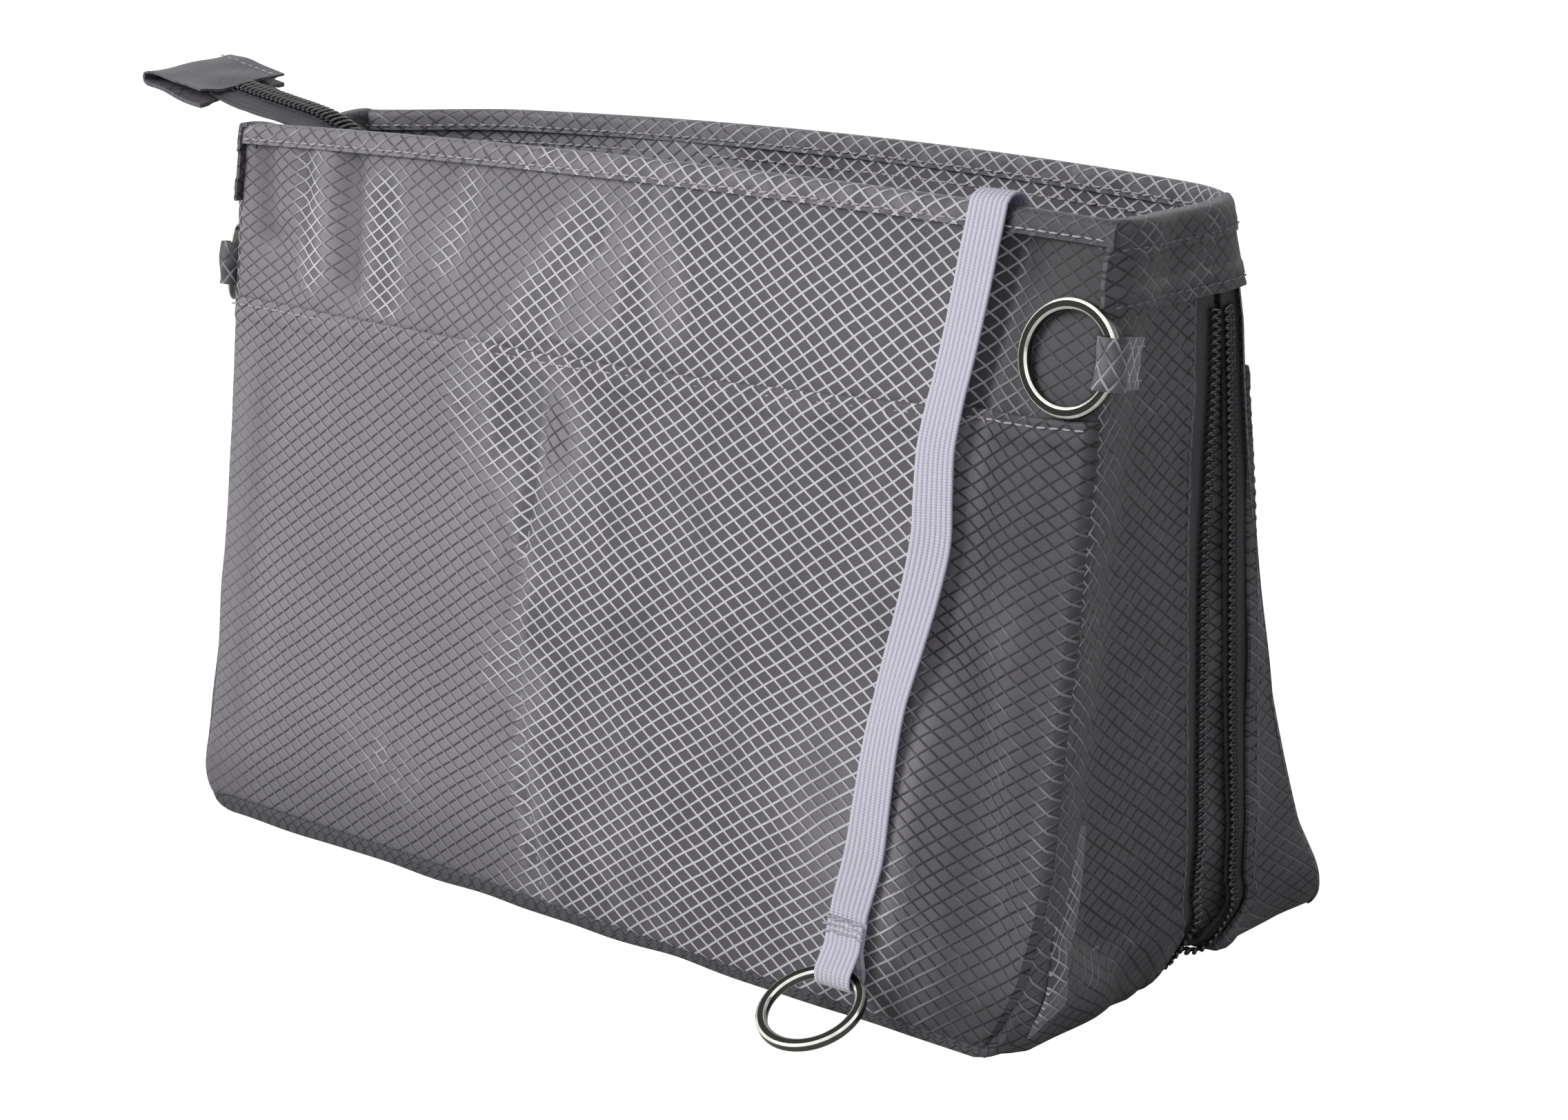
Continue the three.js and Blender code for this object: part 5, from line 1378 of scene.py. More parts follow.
class ORGANIZER_OT_gussets(bpy.types.Operator):
    """Makes the two strips that run round the ends and the base, and their linings"""
    bl_idname = "organizer.gussets"
    bl_label = "Gussets"

    def execute(self, context):
        hem, strip, start = behind(front_tape_y, -3.2), behind(behind_front, 8), behind(back_tape_y, GAP)

        # Painted light on the front gusset: a painted highlight along the seam's lip, painted shade towards the base,
        # and painted shading near 0.5
        def front_light_end(y, run, z, x):
            rough, fine = waves(y, run, 71, 24), waves(y, run, 72, 7)
            seam = y - front_y(z)
            near = smooth((26 - seam + 6 * rough) / 20)
            edge = np.exp(-((seam - 1.8) / 0.9) ** 2) * smooth((z - 62) / 40)
            base = smooth((12 - z) / 10)
            first = clip01(0.42 * near + edge - 0.3 * rough + 0.25 * fine) * (1 - 0.8 * base)
            second = clip01(0.3 * near + edge + 0.3 * rough + 0.25 * fine) * (1 - 0.8 * base)
            return first, second, clip01(0.05 + 0.2 * smooth((y + 6) / 8)), 0.5 + 0.2 * edge - 0.16 * base

        # Painted light on the back gusset, with painted shading of 0.58
        def back_light_end(y, run, z, x):
            rough = 0.2 * waves(y, run, 81, 26)
            return clip01(0.3 + rough), clip01(0.12 + rough), 0.2, 0.58

        def seam(extra, share_of=1.0, proud=0.0):
            """The inset of a line near the front seam, which follows the panel's drawn-in edge."""
            return lambda x, z, nx, nz: (extra + seam_gap(x, z, nx, nz, share_of)
                                         - proud * (x < 0) * np.abs(nx) * smooth((z - 2) / 12))

        def lip(back):
            """A line behind the front seam, brought forward to the front's face under the base."""
            return lambda z: behind_front(z) + back - 1.3 * smooth((7 - z) / 5)

        def wide(z):
            return before_back(z) - start(z)

        def past(most, part):
            """A line past the back strip's start, by no more than a part of the strip's width."""
            return lambda z: start(z) + np.minimum(most, wide(z) * part)

        front = u_piece("front_gusset_cloth", GUSSET_TOP, [
            (lip(0), seam(2.3)), (lip(0.1), seam(0.9, 0.95, 0.9)), (lip(0.5), seam(0, 0.9, 1.5)),
            (lip(1.4), seam(-0.4, 0.8, 1.4)), (lip(3.0), seam(-0.4, 0.6, 0.7)), (lip(4.8), seam(0.1, 0.4)),
            (strip, seam(0.15, 0.2)), (between(strip, hem, 0.34), 0.5), (between(strip, hem, 0.67), 0.5),
            (behind(hem, -0.6), 0.1), (behind(hem, 0.3), -0.35), (behind(hem, 1.6), -0.5), (behind(hem, 2.8), -0.25),
            (front_tape_y, 0.35)],
            CLOTH, ripstop(), gusset_ripple(12, 91), front_light_end, steps=4, gathered=12)
        placed(front, "front_half", "front_gusset", slot="ripstop_cloth")
        back = u_piece("back_gusset_cloth", 140.0, [
            (start, 0.4), (past(0.8, 0.2), -0.25), (past(2.2, 0.4), -0.5), (past(3.2, 0.55), -0.15),
            (past(3.7, 0.62), 0.05), (between(past(3.7, 0.62), before_back, 0.5), 0.35),
            (lambda z: before_back(z) - np.minimum(2, wide(z) * 0.12), 0.0), (before_back, 1.6)],
            CLOTH, ripstop(), gusset_ripple(2, 95), back_light_end, steps=4, uv_shift=1.3)
        placed(back, "back_half", "back_gusset", slot="ripstop_cloth")
        front_in = u_piece("front_gusset_inner_cloth", GUSSET_TOP, [
            (behind(behind_front, 5), 1.1), (behind(front_y, 12), 1.1), (behind(front_tape_y, -4), 1.1)],
            CLOTH, ripstop(*INSIDE), steps=4)
        placed(front_in, "front_half", "front_gusset_lining", slot="lining_cloth")
        back_in = u_piece("back_gusset_inner_cloth", 76.0, [(behind(back_tape_y, 4.4), 1.1), (before_back, 1.1)],
                          CLOTH, ripstop(*INSIDE), steps=5)
        placed(back_in, "back_half", "back_gusset_lining", slot="lining_cloth")
        return finished(front, back, front_in, back_in)


class ORGANIZER_OT_expansion_zip(bpy.types.Operator):
    """Makes the zip round the ends and the base: tapes, coil rows and the cloth between them"""
    bl_idname = "organizer.expansion_zip"
    bl_label = "Expansion zip"

    def execute(self, context):
        s = context.scene.organizer_zip
        tape = tape_cloth()
        front_tape = u_piece("front_tape_cloth", TAPE_TOP, [
            (behind(front_tape_y, -3), 1.95), (front_tape_y, 1.9), (behind(front_coil_y, -2.2), 1.75),
            (behind(front_coil_y, -1.6), 1.95), (behind(front_coil_y, 1), 1.95)], 0.6, tape, steps=2)
        placed(front_tape, "front_half", "front_zip_tape", slot="zip_tape")
        back_tape = u_piece("back_tape_cloth", TAPE_TOP, [
            (behind(back_coil_y, -1), 1.95), (behind(back_coil_y, 1.6), 1.95), (behind(back_coil_y, 2.2), 1.75),
            (lambda z: np.minimum(back_tape_y(z), before_back(z) - 1), 1.9),
            (lambda z: np.minimum(back_tape_y(z) + 3, before_back(z) - GAP), 1.95)], 0.6, tape, steps=2)
        placed(back_tape, "back_half", "back_zip_tape", slot="zip_tape")
        made = [front_tape, back_tape]
        pitch, wire, width = s.pitch / MM, s.wire / MM, s.width / MM
        for side, line, flip in (("front", front_coil_y, 1), ("back", back_coil_y, -1)):
            turn = coil_shape(f"{side}_coil_turn", pitch, width * flip, 0.75, wire, 1.12)
            path, out = u_line(ZIP_TOP, line, 0.85)
            if flip < 0:
                keep = lengths_along(path) > pitch / 2
                path, out = path[keep], out[keep]
            coil = repeated(f"{side}_expansion_coil", [(path, out)], turn, pitch, coil_plastic())
            placed(coil, f"{side}_half", f"{side}_zip_coil", slot="zip_coil")
            lines = []
            for shift in (-0.75, 0.35):
                lines += above_base(u_line(ZIP_TOP, behind(line, -shift * flip), 0.02))
            sewn = repeated(f"{side}_coil_sewing", lines, stitch_shape(), pitch, thread(*COIL_THREAD), 0.62, 0.1, 5)
            placed(sewn, f"{side}_half")
            made += [coil, sewn]

        def fold(knot, run, y, z):
            return 0 * y, 0.6 * waves(run, y, 101, 26) * np.sin(math.pi * knot / 6)

        # Painted shade in the zip's gap: grid lines painted dark, a little painted glare, in a copy of the ripstop
        # painted at 0.7
        def dark(y, run, z, x):
            return 0.08 + 0 * y, 0.05, 0.15, 1

        under = 2.75
        gusset = u_piece("expansion_cloth", 165.0, [
            (behind(front_coil_y, -5.5), under), (behind(front_coil_y, -3.6), under), (behind(front_coil_y, -2.8), 3.6),
            (between(front_coil_y, back_coil_y, 0.5), 5.6), (behind(back_coil_y, 2.8), 3.6),
            (behind(back_coil_y, 3.6), under),
            (lambda z: np.minimum(back_coil_y(z) + 5.5, before_back(z) - GAP), under)],
            0.7, ripstop("ripstop_expansion", 0.7), fold, dark, steps=4)
        made.append(stretched(gusset, "expansion_gusset", "ripstop_cloth", "front_half", "back_half",
                              (0, 0.012, 0), (0, 0.0285, 0.0012)))
        return finished(*made)


def ring_section(radial, thick, bevel):
    """A flat ring's section with bevelled edges, and how much painted glint each point gets: bright on the bevels, dark
    on the flats.
    """
    r, t, b = radial / 2, thick / 2, bevel
    corners = [(r, -t + b), (r, t - b), (r - b, t), (-r + b, t), (-r, t - b), (-r, -t + b), (-r + b, -t), (r - b, -t)]
    points, polish_and_glint = [], []
    for i, (px, py) in enumerate(corners):
        nx, ny = corners[(i + 1) % 8]
        on_flat = i in (2, 6)
        for k in ((0.03, 0.14, 0.86, 0.97) if on_flat else (0.1, 0.9)):
            points.append((mix(px, nx, k), mix(py, ny, k)))
            polish_and_glint.append(0.0 if on_flat and 0.1 < k < 0.9 else 0.1 if i in (0, 4) else 1.0)
    return np.array(points), np.array(polish_and_glint)


def ring_piece(name, outer, axis_point, axis, towards, reach, body, node):
    radius = (outer - 2.5) / 2
    centre = axis_point + towards * reach
    side = np.cross(towards, axis)
    angle = np.linspace(0, 2 * math.pi, 97)[:-1]
    radial = towards[None] * np.cos(angle)[:, None] + axis[None] * np.sin(angle)[:, None]
    section, polish_and_glint = ring_section(2.45, 2.3, 0.42)
    # Painted reflection: the nickel's bevels are painted bright and its flats dark
    ring = swept(name, centre + radial * radius, radial, np.repeat(side[None], 96, 0), section,
                 metal("polished_nickel", (254, 252, 244), (54, 56, 51), 0.15), {"polish_and_glint": polish_and_glint}, closed=True,
                 crisp=30)
    return placed(ring, body, node, slot="nickel_wire")


class ORGANIZER_OT_rings(bpy.types.Operator):
    """Makes the three nickel rings and the two cloth tabs that hold the side rings"""
    bl_idname = "organizer.rings"
    bl_label = "Rings and tabs"

    def execute(self, context):
        lean = math.radians(26)
        made = [
            ring_piece("key_ring_nickel", 25, KEY_AXIS, np.array([1.0, 0, 0]),
                       np.array([0, -math.cos(lean), -math.sin(lean)]), 10.66, "key_ring", "key_ring"),
            ring_piece("right_side_ring", 25, RIGHT_AXIS, CORNER_LINE, np.array([-1.0, 0, 0]), 10.535, "right_ring",
                       "right_ring"),
        ]
        turn = math.radians(49.5)
        towards = np.array([-math.cos(turn), 0, 0]) + math.sin(turn) * BACKWARDS
        made.append(ring_piece("left_side_ring", 20, LEFT_AXIS, CORNER_LINE, towards, 7.78, "left_ring", "left_ring"))
        for side, name, axis, eye in ((1, "right", RIGHT_AXIS, 2.449), (-1, "left", LEFT_AXIS, 2.877)):
            reach = eye + 0.8
            r = eye + 0.4
            low, high = -reach + 1.5, -reach + 2.35
            loop = [(high, 14.2), (high, 10), (high + 0.1, 6.4), (-0.2 + high / 2, 4.1), (r * 0.72, r * 0.82),
                    (r, 0), (r * 0.72, -r * 0.7), (0, -r), (-r * 0.7, -r * 0.72), (-r, 0.2), (low, 3.4), (low, 8),
                    (low, 14.0)]
            out = np.array([side, 0.0, 0.0])
            path = curve_through([axis + out * a + BACKWARDS * b for a, b in loop], 0.6)
            across, up = frames_along(path, CORNER_LINE)
            run = lengths_along(path)
            t = np.linspace(-5.5, 5.5, 23)
            bend = 0.28 * waves(run[:, None], t, 111 + side, 9) + 0.12 * np.cos(t / 5.5 * math.pi)
            curl = 0.2 * waves(run, 0, 115, 12)
            middle = path[:, None] + across[:, None] * (t * (1 - 0.02 * np.abs(curl))[:, None])[..., None]
            outer, inner = (middle + up[:, None] * (bend + half)[..., None] for half in (0.36, -0.36))
            # Painted light on the tabs: lit grid lines and painted shading, the right tab lighter near its start and
            # darker further along, the left one at 0.5
            rough = 0.4 * waves(t, run[:, None], 117, 8)
            tone = 1.2 - 0.5 * smooth((run[:, None] - 7) / 6) if side > 0 else 0.5
            tab = cloth_piece(f"{name}_ring_tab_cloth", outer, inner, grid_uv(t, run[:, None]), ripstop(),
                              lit_by((clip01(0.6 + rough), clip01(0.5 + rough), 0.1, tone)))
            placed(tab, "front_half", f"{name}_ring_tab", slot="ripstop_cloth")
            keep = run < 13.5
            face = np.where(np.sum(up[keep] * out, axis=1) > 0, 1, -1)[:, None] * up[keep] * 0.62
            lines = [(settle(path[keep]) + across[keep] * level + face, out) for level in (-3.6, 3.6)]
            seam = repeated(f"{name}_tab_sewing", lines, stitch_shape(), 2.6, thread(*GREY_THREAD), 0.85, 0.15, 6)
            placed(seam, "front_half")
            made += [tab, seam]
        return finished(*made)


def open_share(x):
    return smooth((x - ZIP_START) / (LEAD_END - ZIP_START))


def row_y(side, x, out):
    return TOP_ZIP_Y + side * (out + ZIP_OPEN * open_share(x))


class ORGANIZER_OT_top_zip(bpy.types.Operator):
    """Makes the recessed top zip: its rows, the leads they run out to and the cloth flaps that carry them"""
    bl_idname = "organizer.top_zip"
    bl_label = "Top zip"

    def execute(self, context):
        made = []
        tape, plastic = tape_cloth(), coil_plastic()
        up = np.array([0.0, 0.0, 1.0])
        for name, side, wall, fixed, moved in (("front", -1, front_wall, -29, -21), ("back", 1, back_wall, 16.5, 12)):
            row_body = f"{name}_zip_row"
            turn = coil_shape(f"{name}_top_turn", 1.5, -side * 1.5, 0.8, 0.62, 1.15)
            for part, start, end, lift in (("row", LEAD_END, ZIP_END, 0.0), ("lead", ZIP_START, LEAD_END - GAP, -0.1)):
                x = np.linspace(start, end, round((end - start) / 2.5) + 1)
                xx, oo = np.meshgrid(x, np.linspace(1, 12, 7), indexing="ij")
                y, level = row_y(side, xx, oo), TOP_ZIP_Z + 0.12 * waves(xx, oo, 121, 30)
                top, low = (np.stack([xx, y, level + half], axis=-1) for half in (0.35, -0.35))
                strip = cloth_piece(f"{name}_top_{part}_tape", top, low, grid_uv(oo, xx), tape)
                line = np.stack([x, row_y(side, x, 1.5), 0 * x + TOP_ZIP_Z + 1.25 + lift], axis=1)
                coil = repeated(f"{name}_top_{part}_coil", [(line, up)], turn, 1.5, plastic)
                for piece, kind in ((strip, "tape"), (coil, "coil")):
                    if part == "row":
                        placed(piece, row_body, f"top_zip_{name}_{kind}", slot=f"zip_{kind}")
                    else:
                        stretched(piece, f"top_zip_{name}_lead", f"zip_{kind}", "front_half", row_body,
                                  (ZIP_START * MM, 0, 0), (LEAD_END * MM, 0, 0))
                made += [strip, coil]
            x = np.linspace(-44, 112, 90)
            under = TOP_ZIP_Z - 0.35 - GAP - 0.35
            seam = side * wall(x, np.full_like(x, under), lining_depth(under, True) + GAP + 0.35)[:, 1]
            lap = side * row_y(side, x, 12.0)
            knots = [(seam, under - GAP), (seam, under - 3.2), (seam - 1.5, under - 6.5), (seam - 3, under - 3.3),
                     (np.minimum(lap, seam - 3.3), under), (lap - 6, under)]
            stops = np.linspace(0, 5, 26)
            across = np.stack([np.interp(stops, range(6), [y[i] for y, _ in knots]) for i in range(len(x))])
            droop = np.sin(math.pi * clip01(stops / 3)) * 0.5 * waves(x[:, None], 0, 131, 24)
            level = np.interp(stops, range(6), [z for _, z in knots]) + droop
            run = lengths_across(np.hypot(np.diff(across, axis=1), np.diff(level, axis=1)))
            dy, dz = np.gradient(across, axis=1), np.gradient(level, axis=1)
            size = np.hypot(dy, dz) + 1e-9
            faces = [np.stack([x[:, None] + 0 * across, side * (across - dz / size * half), level + dy / size * half],
                              axis=-1) for half in (0.33, -0.33)]
            flap = cloth_piece(f"{name}_zip_flap_cloth", *faces, grid_uv(x[:, None], run), ripstop(*INSIDE))
            made.append(stretched(flap, f"top_zip_{name}_flap", "ripstop_cloth", "front_half", row_body,
                                  (0, fixed * MM, 0), (0, moved * MM, 0)))
        return finished(*made)


def tail_frames(route):
    ahead = unit(np.gradient(route, axis=0))
    count = len(route)
    i = np.arange(count)
    roll = np.radians(6.4) * clip01((i - count / 2) / (count / 2 - 2))
    across = np.stack([0 * roll, np.cos(roll), np.sin(roll)], axis=1)
    up = unit(np.cross(across, ahead))
    up = np.where(up[:, 2:] < 0, -up, up)
    return across, up


class ORGANIZER_OT_zip_tail(bpy.types.Operator):
    """Makes the closed end of the top zip that runs out over the left rim, and the folded tab on it"""
    bl_idname = "organizer.zip_tail"
    bl_label = "Zip tail and end tab"

    def execute(self, context):
        route = curve_through(TAIL_ROUTE, 1.2)
        across, up = tail_frames(route)
        run = lengths_along(route)
        t = np.linspace(-1, 1, 19)
        ends = clip01(np.minimum(run, run[-1] - run) / 12)
        drop = 1.6 * np.abs(t) ** 1.2 * ends[:, None] + 0.35 * waves(run[:, None], 9 * t, 141, 22)
        middle = route[:, None] + across[:, None] * (9 * t)[None, :, None]
        outer, inner = (middle + up[:, None] * (half - drop)[..., None] for half in (0.35, -0.35))
        tape = cloth_piece("zip_tail_tape", outer, inner, grid_uv(9 * t, run[:, None]),
                           tape_cloth("zip_tail_cloth", (112, 112, 118)), soft=False)
        placed(tape, "front_half", "top_zip_tail_tape", slot="zip_tape")
        keep = run < run[-1] - 3
        line, ups, sides = route[keep], up[keep], across[keep]
        lines = [(line + ups * 1.35 + sides * 1.6, ups), (line[1:] + ups[1:] * 1.35 - sides[1:] * 1.6, ups[1:])]
        chain = []
        for k, (path, out) in enumerate(lines):
            turn = coil_shape(f"tail_turn_{k}", 1.7, (-3.1, 3.1)[k], 1.0, 0.95, 1.15)
            chain.append(repeated(f"zip_tail_coil_{k + 1}", [(path, out)], turn, 1.7, coil_plastic()))
            placed(chain[-1], "front_half", "top_zip_tail_chain", slot="zip_coil")
        sewing = repeated("zip_tail_sewing", [(line + ups * 0.62 + sides * k, ups) for k in (-4.0, 4.0)],
                          stitch_shape(), 2.4, thread(*COIL_THREAD), 0.8, 0.1, 7)
        placed(sewing, "front_half")
        fall, tilt = math.radians(10.4), math.radians(6.4)
        along = np.array([math.cos(fall), 0, -math.sin(fall)])
        back = np.array([0, math.cos(tilt), math.sin(tilt)])
        back = unit(back - along * np.dot(back, along))
        rise = np.cross(along, back)
        centre = np.array([-174.0, -15.0, 185.0])
        profile = [(12, 1.2), (6, 1.45), (0, 1.3), (-6, 1.25), (-10.4, 1.15), (-11.45, 0.75), (-11.75, 0),
                   (-11.45, -0.75), (-10.4, -1.15), (-6, -1.2), (0, -1.25), (6, -1.3), (12, -1.1)]
        path = curve_through([(a, b, 0) for a, b in profile], 0.9)[:, :2]
        steps = unit(np.gradient(path, axis=0))
        ahead, high = path[:, :1], path[:, 1:]
        flank, fades = np.sign(high), smooth(np.abs(high))
        w = np.linspace(-14.35, 14.35, 41)
        side_hem = 0.3 * smooth((-10.6 - w) / 0.5) + 0.25 * smooth((w - 10.8) / 0.5)
        ridge = flank * (side_hem - 0.3 * np.exp(-((w - 11.2) / 0.5) ** 2)) * fades
        bend = 0.45 * waves(ahead, w + 30 * flank, 151, 17) * fades
        gape = 0.8 * smooth((-w - 6) / 8) * flank * smooth((ahead + 10) / 12)
        sheets = []
        for offset in (0.42, -0.42):
            level = high + bend + gape + ridge * (offset * flank > 0)
            shift = along * (-steps[:, 1:] * offset) + rise * (steps[:, :1] * offset)
            sheets.append(centre + along * ahead[..., None] + rise * level[..., None] + back * w[None, :, None]
                          + shift[:, None])
        run_tab = lengths_along(path)[:, None]
        rough = waves(w, run_tab, 161, 14)
        # Painted light on the end tab: grid lines painted dark and washed by painted glare, in a copy of the ripstop
        # painted at 0.6
        light = clip01(0.12 + 0.1 * rough), clip01(0.1 + 0.1 * rough), clip01(0.6 + 0.2 * rough), 1
        tab = cloth_piece("zip_end_tab_cloth", *sheets, grid_uv(w, run_tab), ripstop("ripstop_tab", 0.6),
                          lit_by(light), soft=False)
        placed(tab, "front_half", "top_zip_tail_tab", slot="ripstop_cloth")
        x = np.linspace(-9.6, 10.5, 12)
        seam_line = centre + along * x[:, None] + back * 11.0 + rise * 1.72
        seam = repeated("zip_end_tab_sewing", [(seam_line, rise)], stitch_shape(), 2.7, thread(*GREY_THREAD), 0.9,
                        0.12, 9)
        placed(seam, "front_half")
        return finished(tape, sewing, tab, seam, *chain)


# A slider's plate from above, its narrow end first, and the section of its post
PLATE = np.array([(-5.5, -1.7), (-3.7, -3.5), (1.5, -5.0), (4.3, -4.6), (5.5, -2.8), (5.5, 2.8), (4.3, 4.6), (1.5, 5.0),
                  (-3.7, 3.5), (-5.5, 1.7)])
POST = np.array([(-1, -0.22), (1, -0.22), (1.1, 0), (1, 0.22), (-1, 0.22), (-1.1, 0)])


def plate_piece(name, levels, axes, material, body, outline):
    """A plate lofted through outlines at given levels and sizes, closed at both ends; each level's third value is its
    painted glint.
    """
    x, y, z, origin = axes
    rings = [origin + x * outline[:, :1] * size + y * outline[:, 1:] * size + z * level for level, size, _ in levels]
    polish_and_glint = np.repeat([shine for *_, shine in levels], len(outline))
    faces, caps = loft_faces(len(levels), len(outline))
    piece = link_mesh(name, np.vstack(rings), faces, material, None, {"polish_and_glint": polish_and_glint}, caps, 30)
    return placed(piece, body)


class ORGANIZER_OT_sliders(bpy.types.Operator):
    """Makes the two sliders with their bails and pulls"""
    bl_idname = "organizer.sliders"
    bl_label = "Sliders and pulls"

    def execute(self, context):
        gun = metal("slider_plating", (196, 195, 200), (96, 96, 102), 0.3)
        made = []
        down, left = np.array([0.0, 0.03248, -0.99947]), np.array([-1.0, 0.0, 0.0])
        arch = [(-2.35, -0.2), (-2.35, 0.7), (-2.35, 1.4)]
        arch += [(2.35 * math.cos(a), 1.5 + 2.35 * math.sin(a)) for a in np.linspace(math.pi, 0, 11)[1:-1]]
        arch += [(2.35, 1.4), (2.35, 0.7), (2.35, -0.2)]
        angle = np.linspace(0, 2 * math.pi, 13)[:-1]
        section = np.stack([0.7 * np.cos(angle), 0.6 * np.sin(angle)], axis=1)
        # Painted glint on the bail, varying round its section
        shine = {"polish_and_glint": 0.4 + 0.6 * np.abs(np.sin(angle))}
        for name, slider, pull, axes, depth in (
                ("top", "top_zip_slider", "top_zip_pull", (*np.eye(3), np.array([-90.0, -11.0, 156.25])), 2.6),
                ("side", "expansion_slider", "expansion_pull",
                 (down, np.cross(left, down), left, np.array([-136.98, 9.038, 146.0])), 2.4)):
            x, y, z, origin = axes
            upper = plate_piece(f"{name}_slider_top", [
                (0.5, 0.9, 1), (0.6, 0.97, 1), (0.8, 1, 0.5), (1.15, 1, 0.5), (1.35, 0.95, 1), (1.42, 0.86, 0.2)],
                axes, gun, slider, PLATE)
            low = -depth - 0.5
            lower = plate_piece(f"{name}_slider_base", [
                (low - 0.9, 0.9, 0.2), (low - 0.8, 0.97, 1), (low - 0.5, 1, 0.5), (low - 0.1, 0.97, 1),
                (low, 0.92, 0.2)], axes, gun, slider, PLATE)
            post = plate_piece(f"{name}_slider_post", [(low - 0.2, 1, 0.3), (0.7, 1, 0.3)],
                               (x, y, z, origin + x * 2), gun, slider, POST)
            path = np.array([origin + x * a + z * (b + 1.0) for a, b in arch])
            bail = swept(f"{name}_slider_bail", path, *frames_along(path, y), section, gun, shine)
            placed(bail, slider)
            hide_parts(slider)
            tag = placed(pull_piece(f"{name}_pull_plate", axes, gun), pull, pull, slot="slider_metal")
            made += [upper, lower, post, bail, tag]
        return finished(*made)


def pull_piece(name, axes, material):
    """The pull: a flat tag with an eye and a long window, its edges eased."""
    x, y, z, origin = axes
    eye, end = 2.35, 20.5

    def arcs(start, stop, first, second, counts=(12, 12)):
        """Two facing half circles, the first round the start and the second round the stop."""
        halves = zip((start, stop), (first, second), (math.pi / 2, -math.pi / 2), counts)
        return [[(middle + radius * math.cos(a), radius * math.sin(a)) for a in np.linspace(low, low + math.pi, count)]
                for middle, radius, low, count in halves]

    left, right = arcs(eye, end, 2.2, 3.3, (13, 17))
    loops = [[*left, (eye + 4.8, -3.3), *right, (eye + 4.8, 3.3)], sum(arcs(eye, eye, 1.6, 1.6), []),
             sum(arcs(end - 10, end, 1.5, 1.5), [])]
    curve = bpy.data.curves.new(name, "CURVE")
    curve.dimensions, curve.fill_mode = "2D", "BOTH"
    curve.extrude, curve.bevel_depth, curve.bevel_resolution = 0.5 * MM, 0.2 * MM, 1
    for loop in loops:
        spline = curve.splines.new("POLY")
        spline.points.add(len(loop) - 1)
        for point, (a, b) in zip(spline.points, loop):
            point.co = (a * MM, b * MM, 0, 1)
        spline.use_cyclic_u = True
    flat = in_scene(name, curve)
    mesh = bpy.data.meshes.new_from_object(flat.evaluated_get(bpy.context.evaluated_depsgraph_get()))
    bpy.data.objects.remove(flat)
    bpy.data.curves.remove(curve)
    points = np.array([v.co for v in mesh.vertices]) / MM
    spots = (origin + x * points[:, :1] + y * points[:, 1:2] + z * (points[:, 2:] + 2.5)) * MM
    mesh.vertices.foreach_set("co", spots.ravel())
    if np.dot(np.cross(x, y), z) < 0:
        mesh.flip_normals()
    # Painted reflection: the tag's rim painted bright, its faces dark
    set_attribute(mesh, "polish_and_glint", (np.abs(points[:, 2]) < 0.68) * 0.8 + 0.2)
    finish_mesh(mesh, material, 30)
    mesh.name = name
    return in_scene(name, mesh)


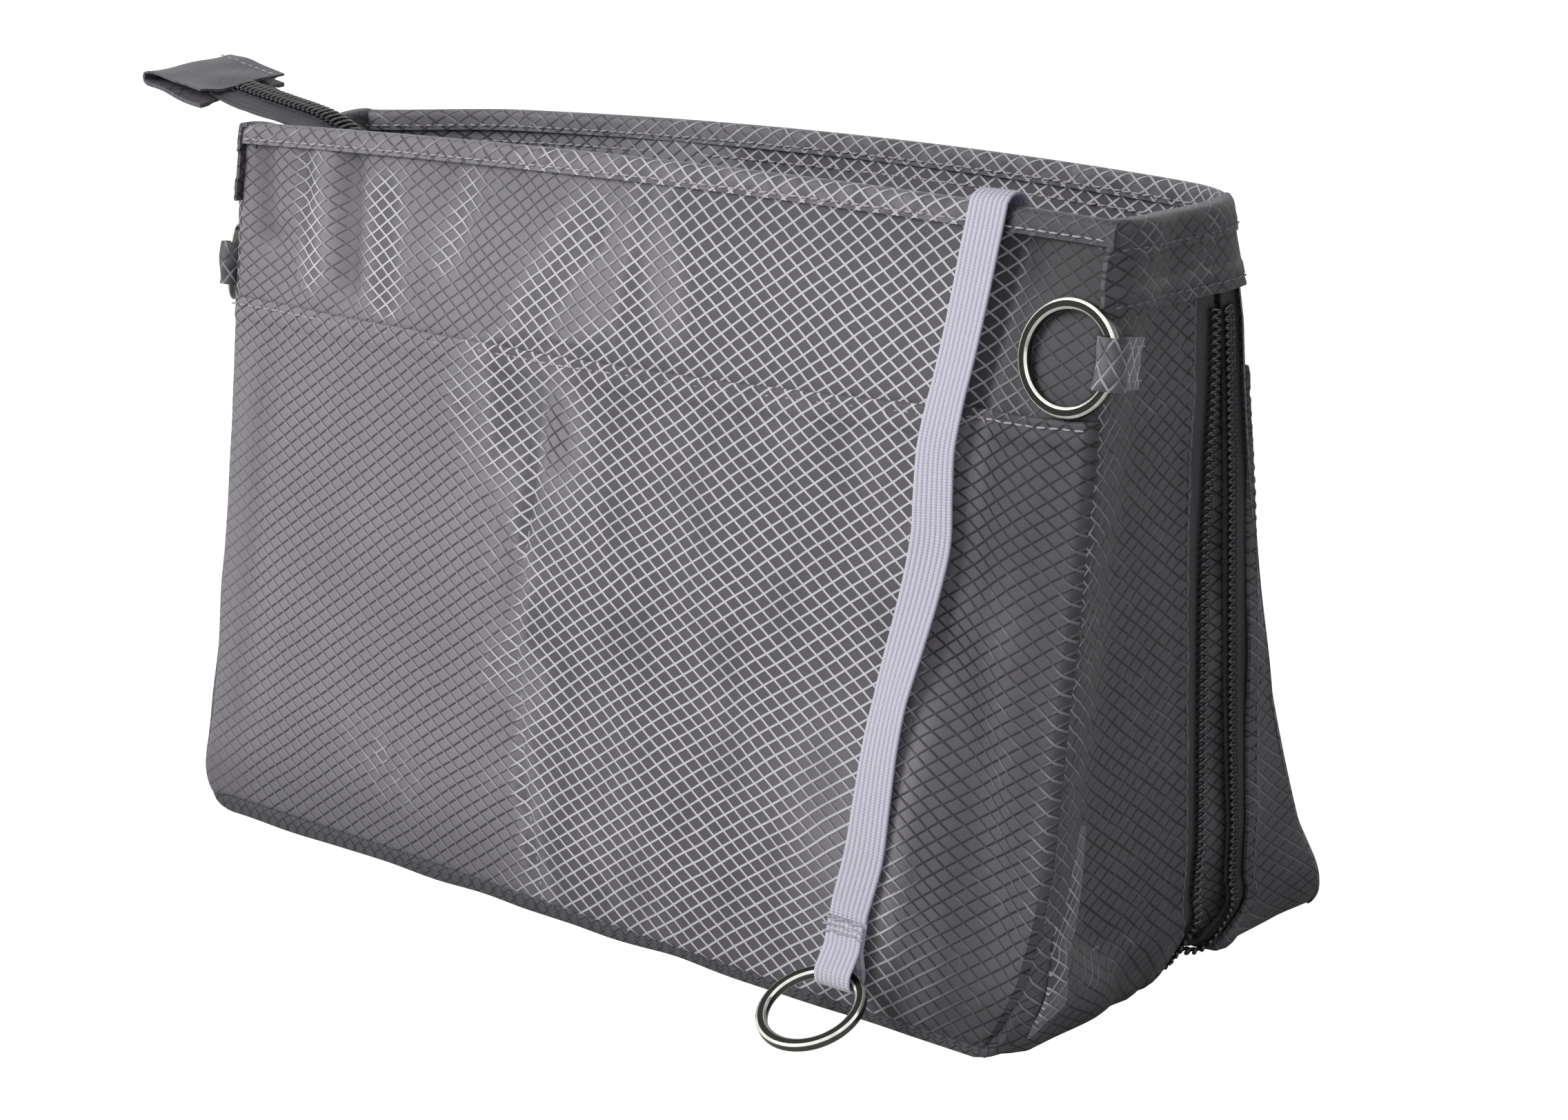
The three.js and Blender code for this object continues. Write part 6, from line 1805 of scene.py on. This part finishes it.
class ORGANIZER_OT_sewing(bpy.types.Operator):
    """Sews the seams: stitches along the rims, the pocket, the bands and the gussets' edges"""
    bl_idname = "organizer.sewing"
    bl_label = "Sewing"

    def execute(self, context):
        s = context.scene.organizer_sewing
        spacing = s.spacing / MM
        grey, dim = thread(*GREY_THREAD), thread(*DIM_THREAD)
        stitch = stitch_shape()
        front_out, back_out = np.array([0.0, -1.0, 0.14]), np.array([0.0, 1.0, 0.1])

        def on_front(x, z, off):
            lift = front_swell(x, z) * smooth((HEIGHT + 2 - z) / 8)
            edge = np.minimum(panel_half(x, z, 0) - np.abs(x), z - WALL_FOOT)
            return front_wall(x, mouth_line(x, z + base_rise(x, z)), -off - lift * smooth(edge / 14))

        def sewn(name, body, rows, yarn, size, seed):
            piece = repeated(name, rows, stitch, spacing, yarn, size, s.uneven, s.seed + seed)
            return placed(piece, body) if body else piece

        x, z = np.linspace(-133, 133, 200), np.linspace(127, 4, 110)
        rim, deep = np.full_like(x, RIM_SEAM), lining_depth(HEIGHT, True)
        front = sewn("front_sewing", "front_half", [
            (front_wall(x, rim, -1.4), front_out), (front_wall(x, rim, deep + 1.2), -front_out),
            (on_front(x, np.full_like(x, POCKET_SEAM), 1.4), front_out),
            (on_front(divider_x(z), z, 0.85), front_out)], grey, s.size, 0)
        back = sewn("back_sewing", "back_half", [(settle(line), out) for line, out in (
            (back_wall(x, rim, -1.4), back_out), (back_wall(x, rim, deep + 1.4), -back_out),
            (back_wall(x * 0.985, np.full_like(x, LINING_SEAM), lining_depth(LINING_SEAM, True) + 0.3), -back_out))],
            grey, s.size, 1)
        band_rows = []
        for side in (1, -1):
            for level, out in ((BAND_BOTTOM + 2.3, 0.32), (BAND_SEAM, 0.48)):
                reach, y, high = band_line(side, np.linspace(0.03, 0.97, 40), level, out)
                band_rows.append((settle(np.stack([side * reach, y, high], axis=1)), np.array([float(side), 0, 0])))
        bands = sewn("end_band_sewing", None, band_rows, dim, s.size, 2)
        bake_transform(bands)
        gusset = sewn("front_gusset_sewing", "front_half", above_base(u_line(168, behind(front_tape_y, -1.5), -0.62)),
                      dim, 0.9, 3)
        start = lambda z: back_tape_y(z) + GAP + np.minimum(1.8, (before_back(z) - back_tape_y(z)) * 0.35)
        wedge = sewn("back_gusset_sewing", "back_half", above_base(u_line(138, start, -0.5)), dim, 0.9, 4)
        return finished(front, back, bands, gusset, wedge)


class ORGANIZER_PT_panel(bpy.types.Panel):
    """Lists the organizer's sizes, colours and pieces"""
    bl_idname = "ORGANIZER_PT_panel"
    bl_label = "Handbag insert organizer"
    bl_space_type = "VIEW_3D"
    bl_region_type = "UI"
    bl_category = "Organizer"

    def draw(self, context):
        for name, group in SETTINGS:
            box = self.layout.box()
            for key in group.__annotations__:
                box.prop(getattr(context.scene, name), key)
        for operator in PIECES:
            self.layout.operator(operator.bl_idname)


SETTINGS = (("organizer_cloth", ClothSettings), ("organizer_sewing", SewingSettings),
            ("organizer_strap", StrapSettings), ("organizer_zip", ZipSettings), ("organizer_stage", StageSettings))
PIECES = (ORGANIZER_OT_camera, ORGANIZER_OT_rings, ORGANIZER_OT_key_strap, ORGANIZER_OT_stage, ORGANIZER_OT_walls,
          ORGANIZER_OT_pocket, ORGANIZER_OT_rim, ORGANIZER_OT_gussets, ORGANIZER_OT_expansion_zip,
          ORGANIZER_OT_top_zip, ORGANIZER_OT_zip_tail, ORGANIZER_OT_sliders, ORGANIZER_OT_sewing)
CLASSES = (*(group for _, group in SETTINGS), *PIECES, ORGANIZER_PT_panel)


def register():
    for item in CLASSES:
        bpy.utils.register_class(item)
    for name, group in SETTINGS:
        setattr(bpy.types.Scene, name, PointerProperty(type=group))


def unregister():
    for name, _ in SETTINGS:
        delattr(bpy.types.Scene, name)
    for item in reversed(CLASSES):
        bpy.utils.unregister_class(item)


def main():
    register()
    for operator in PIECES:
        group, name = operator.bl_idname.split(".")
        getattr(getattr(bpy.ops, group), name)()
    for shape in [o for o in bpy.data.objects if o.name.endswith(("_shape", "_turn", "_turn_0", "_turn_1"))]:
        bpy.data.objects.remove(shape)


if __name__ == "__main__":
    main()
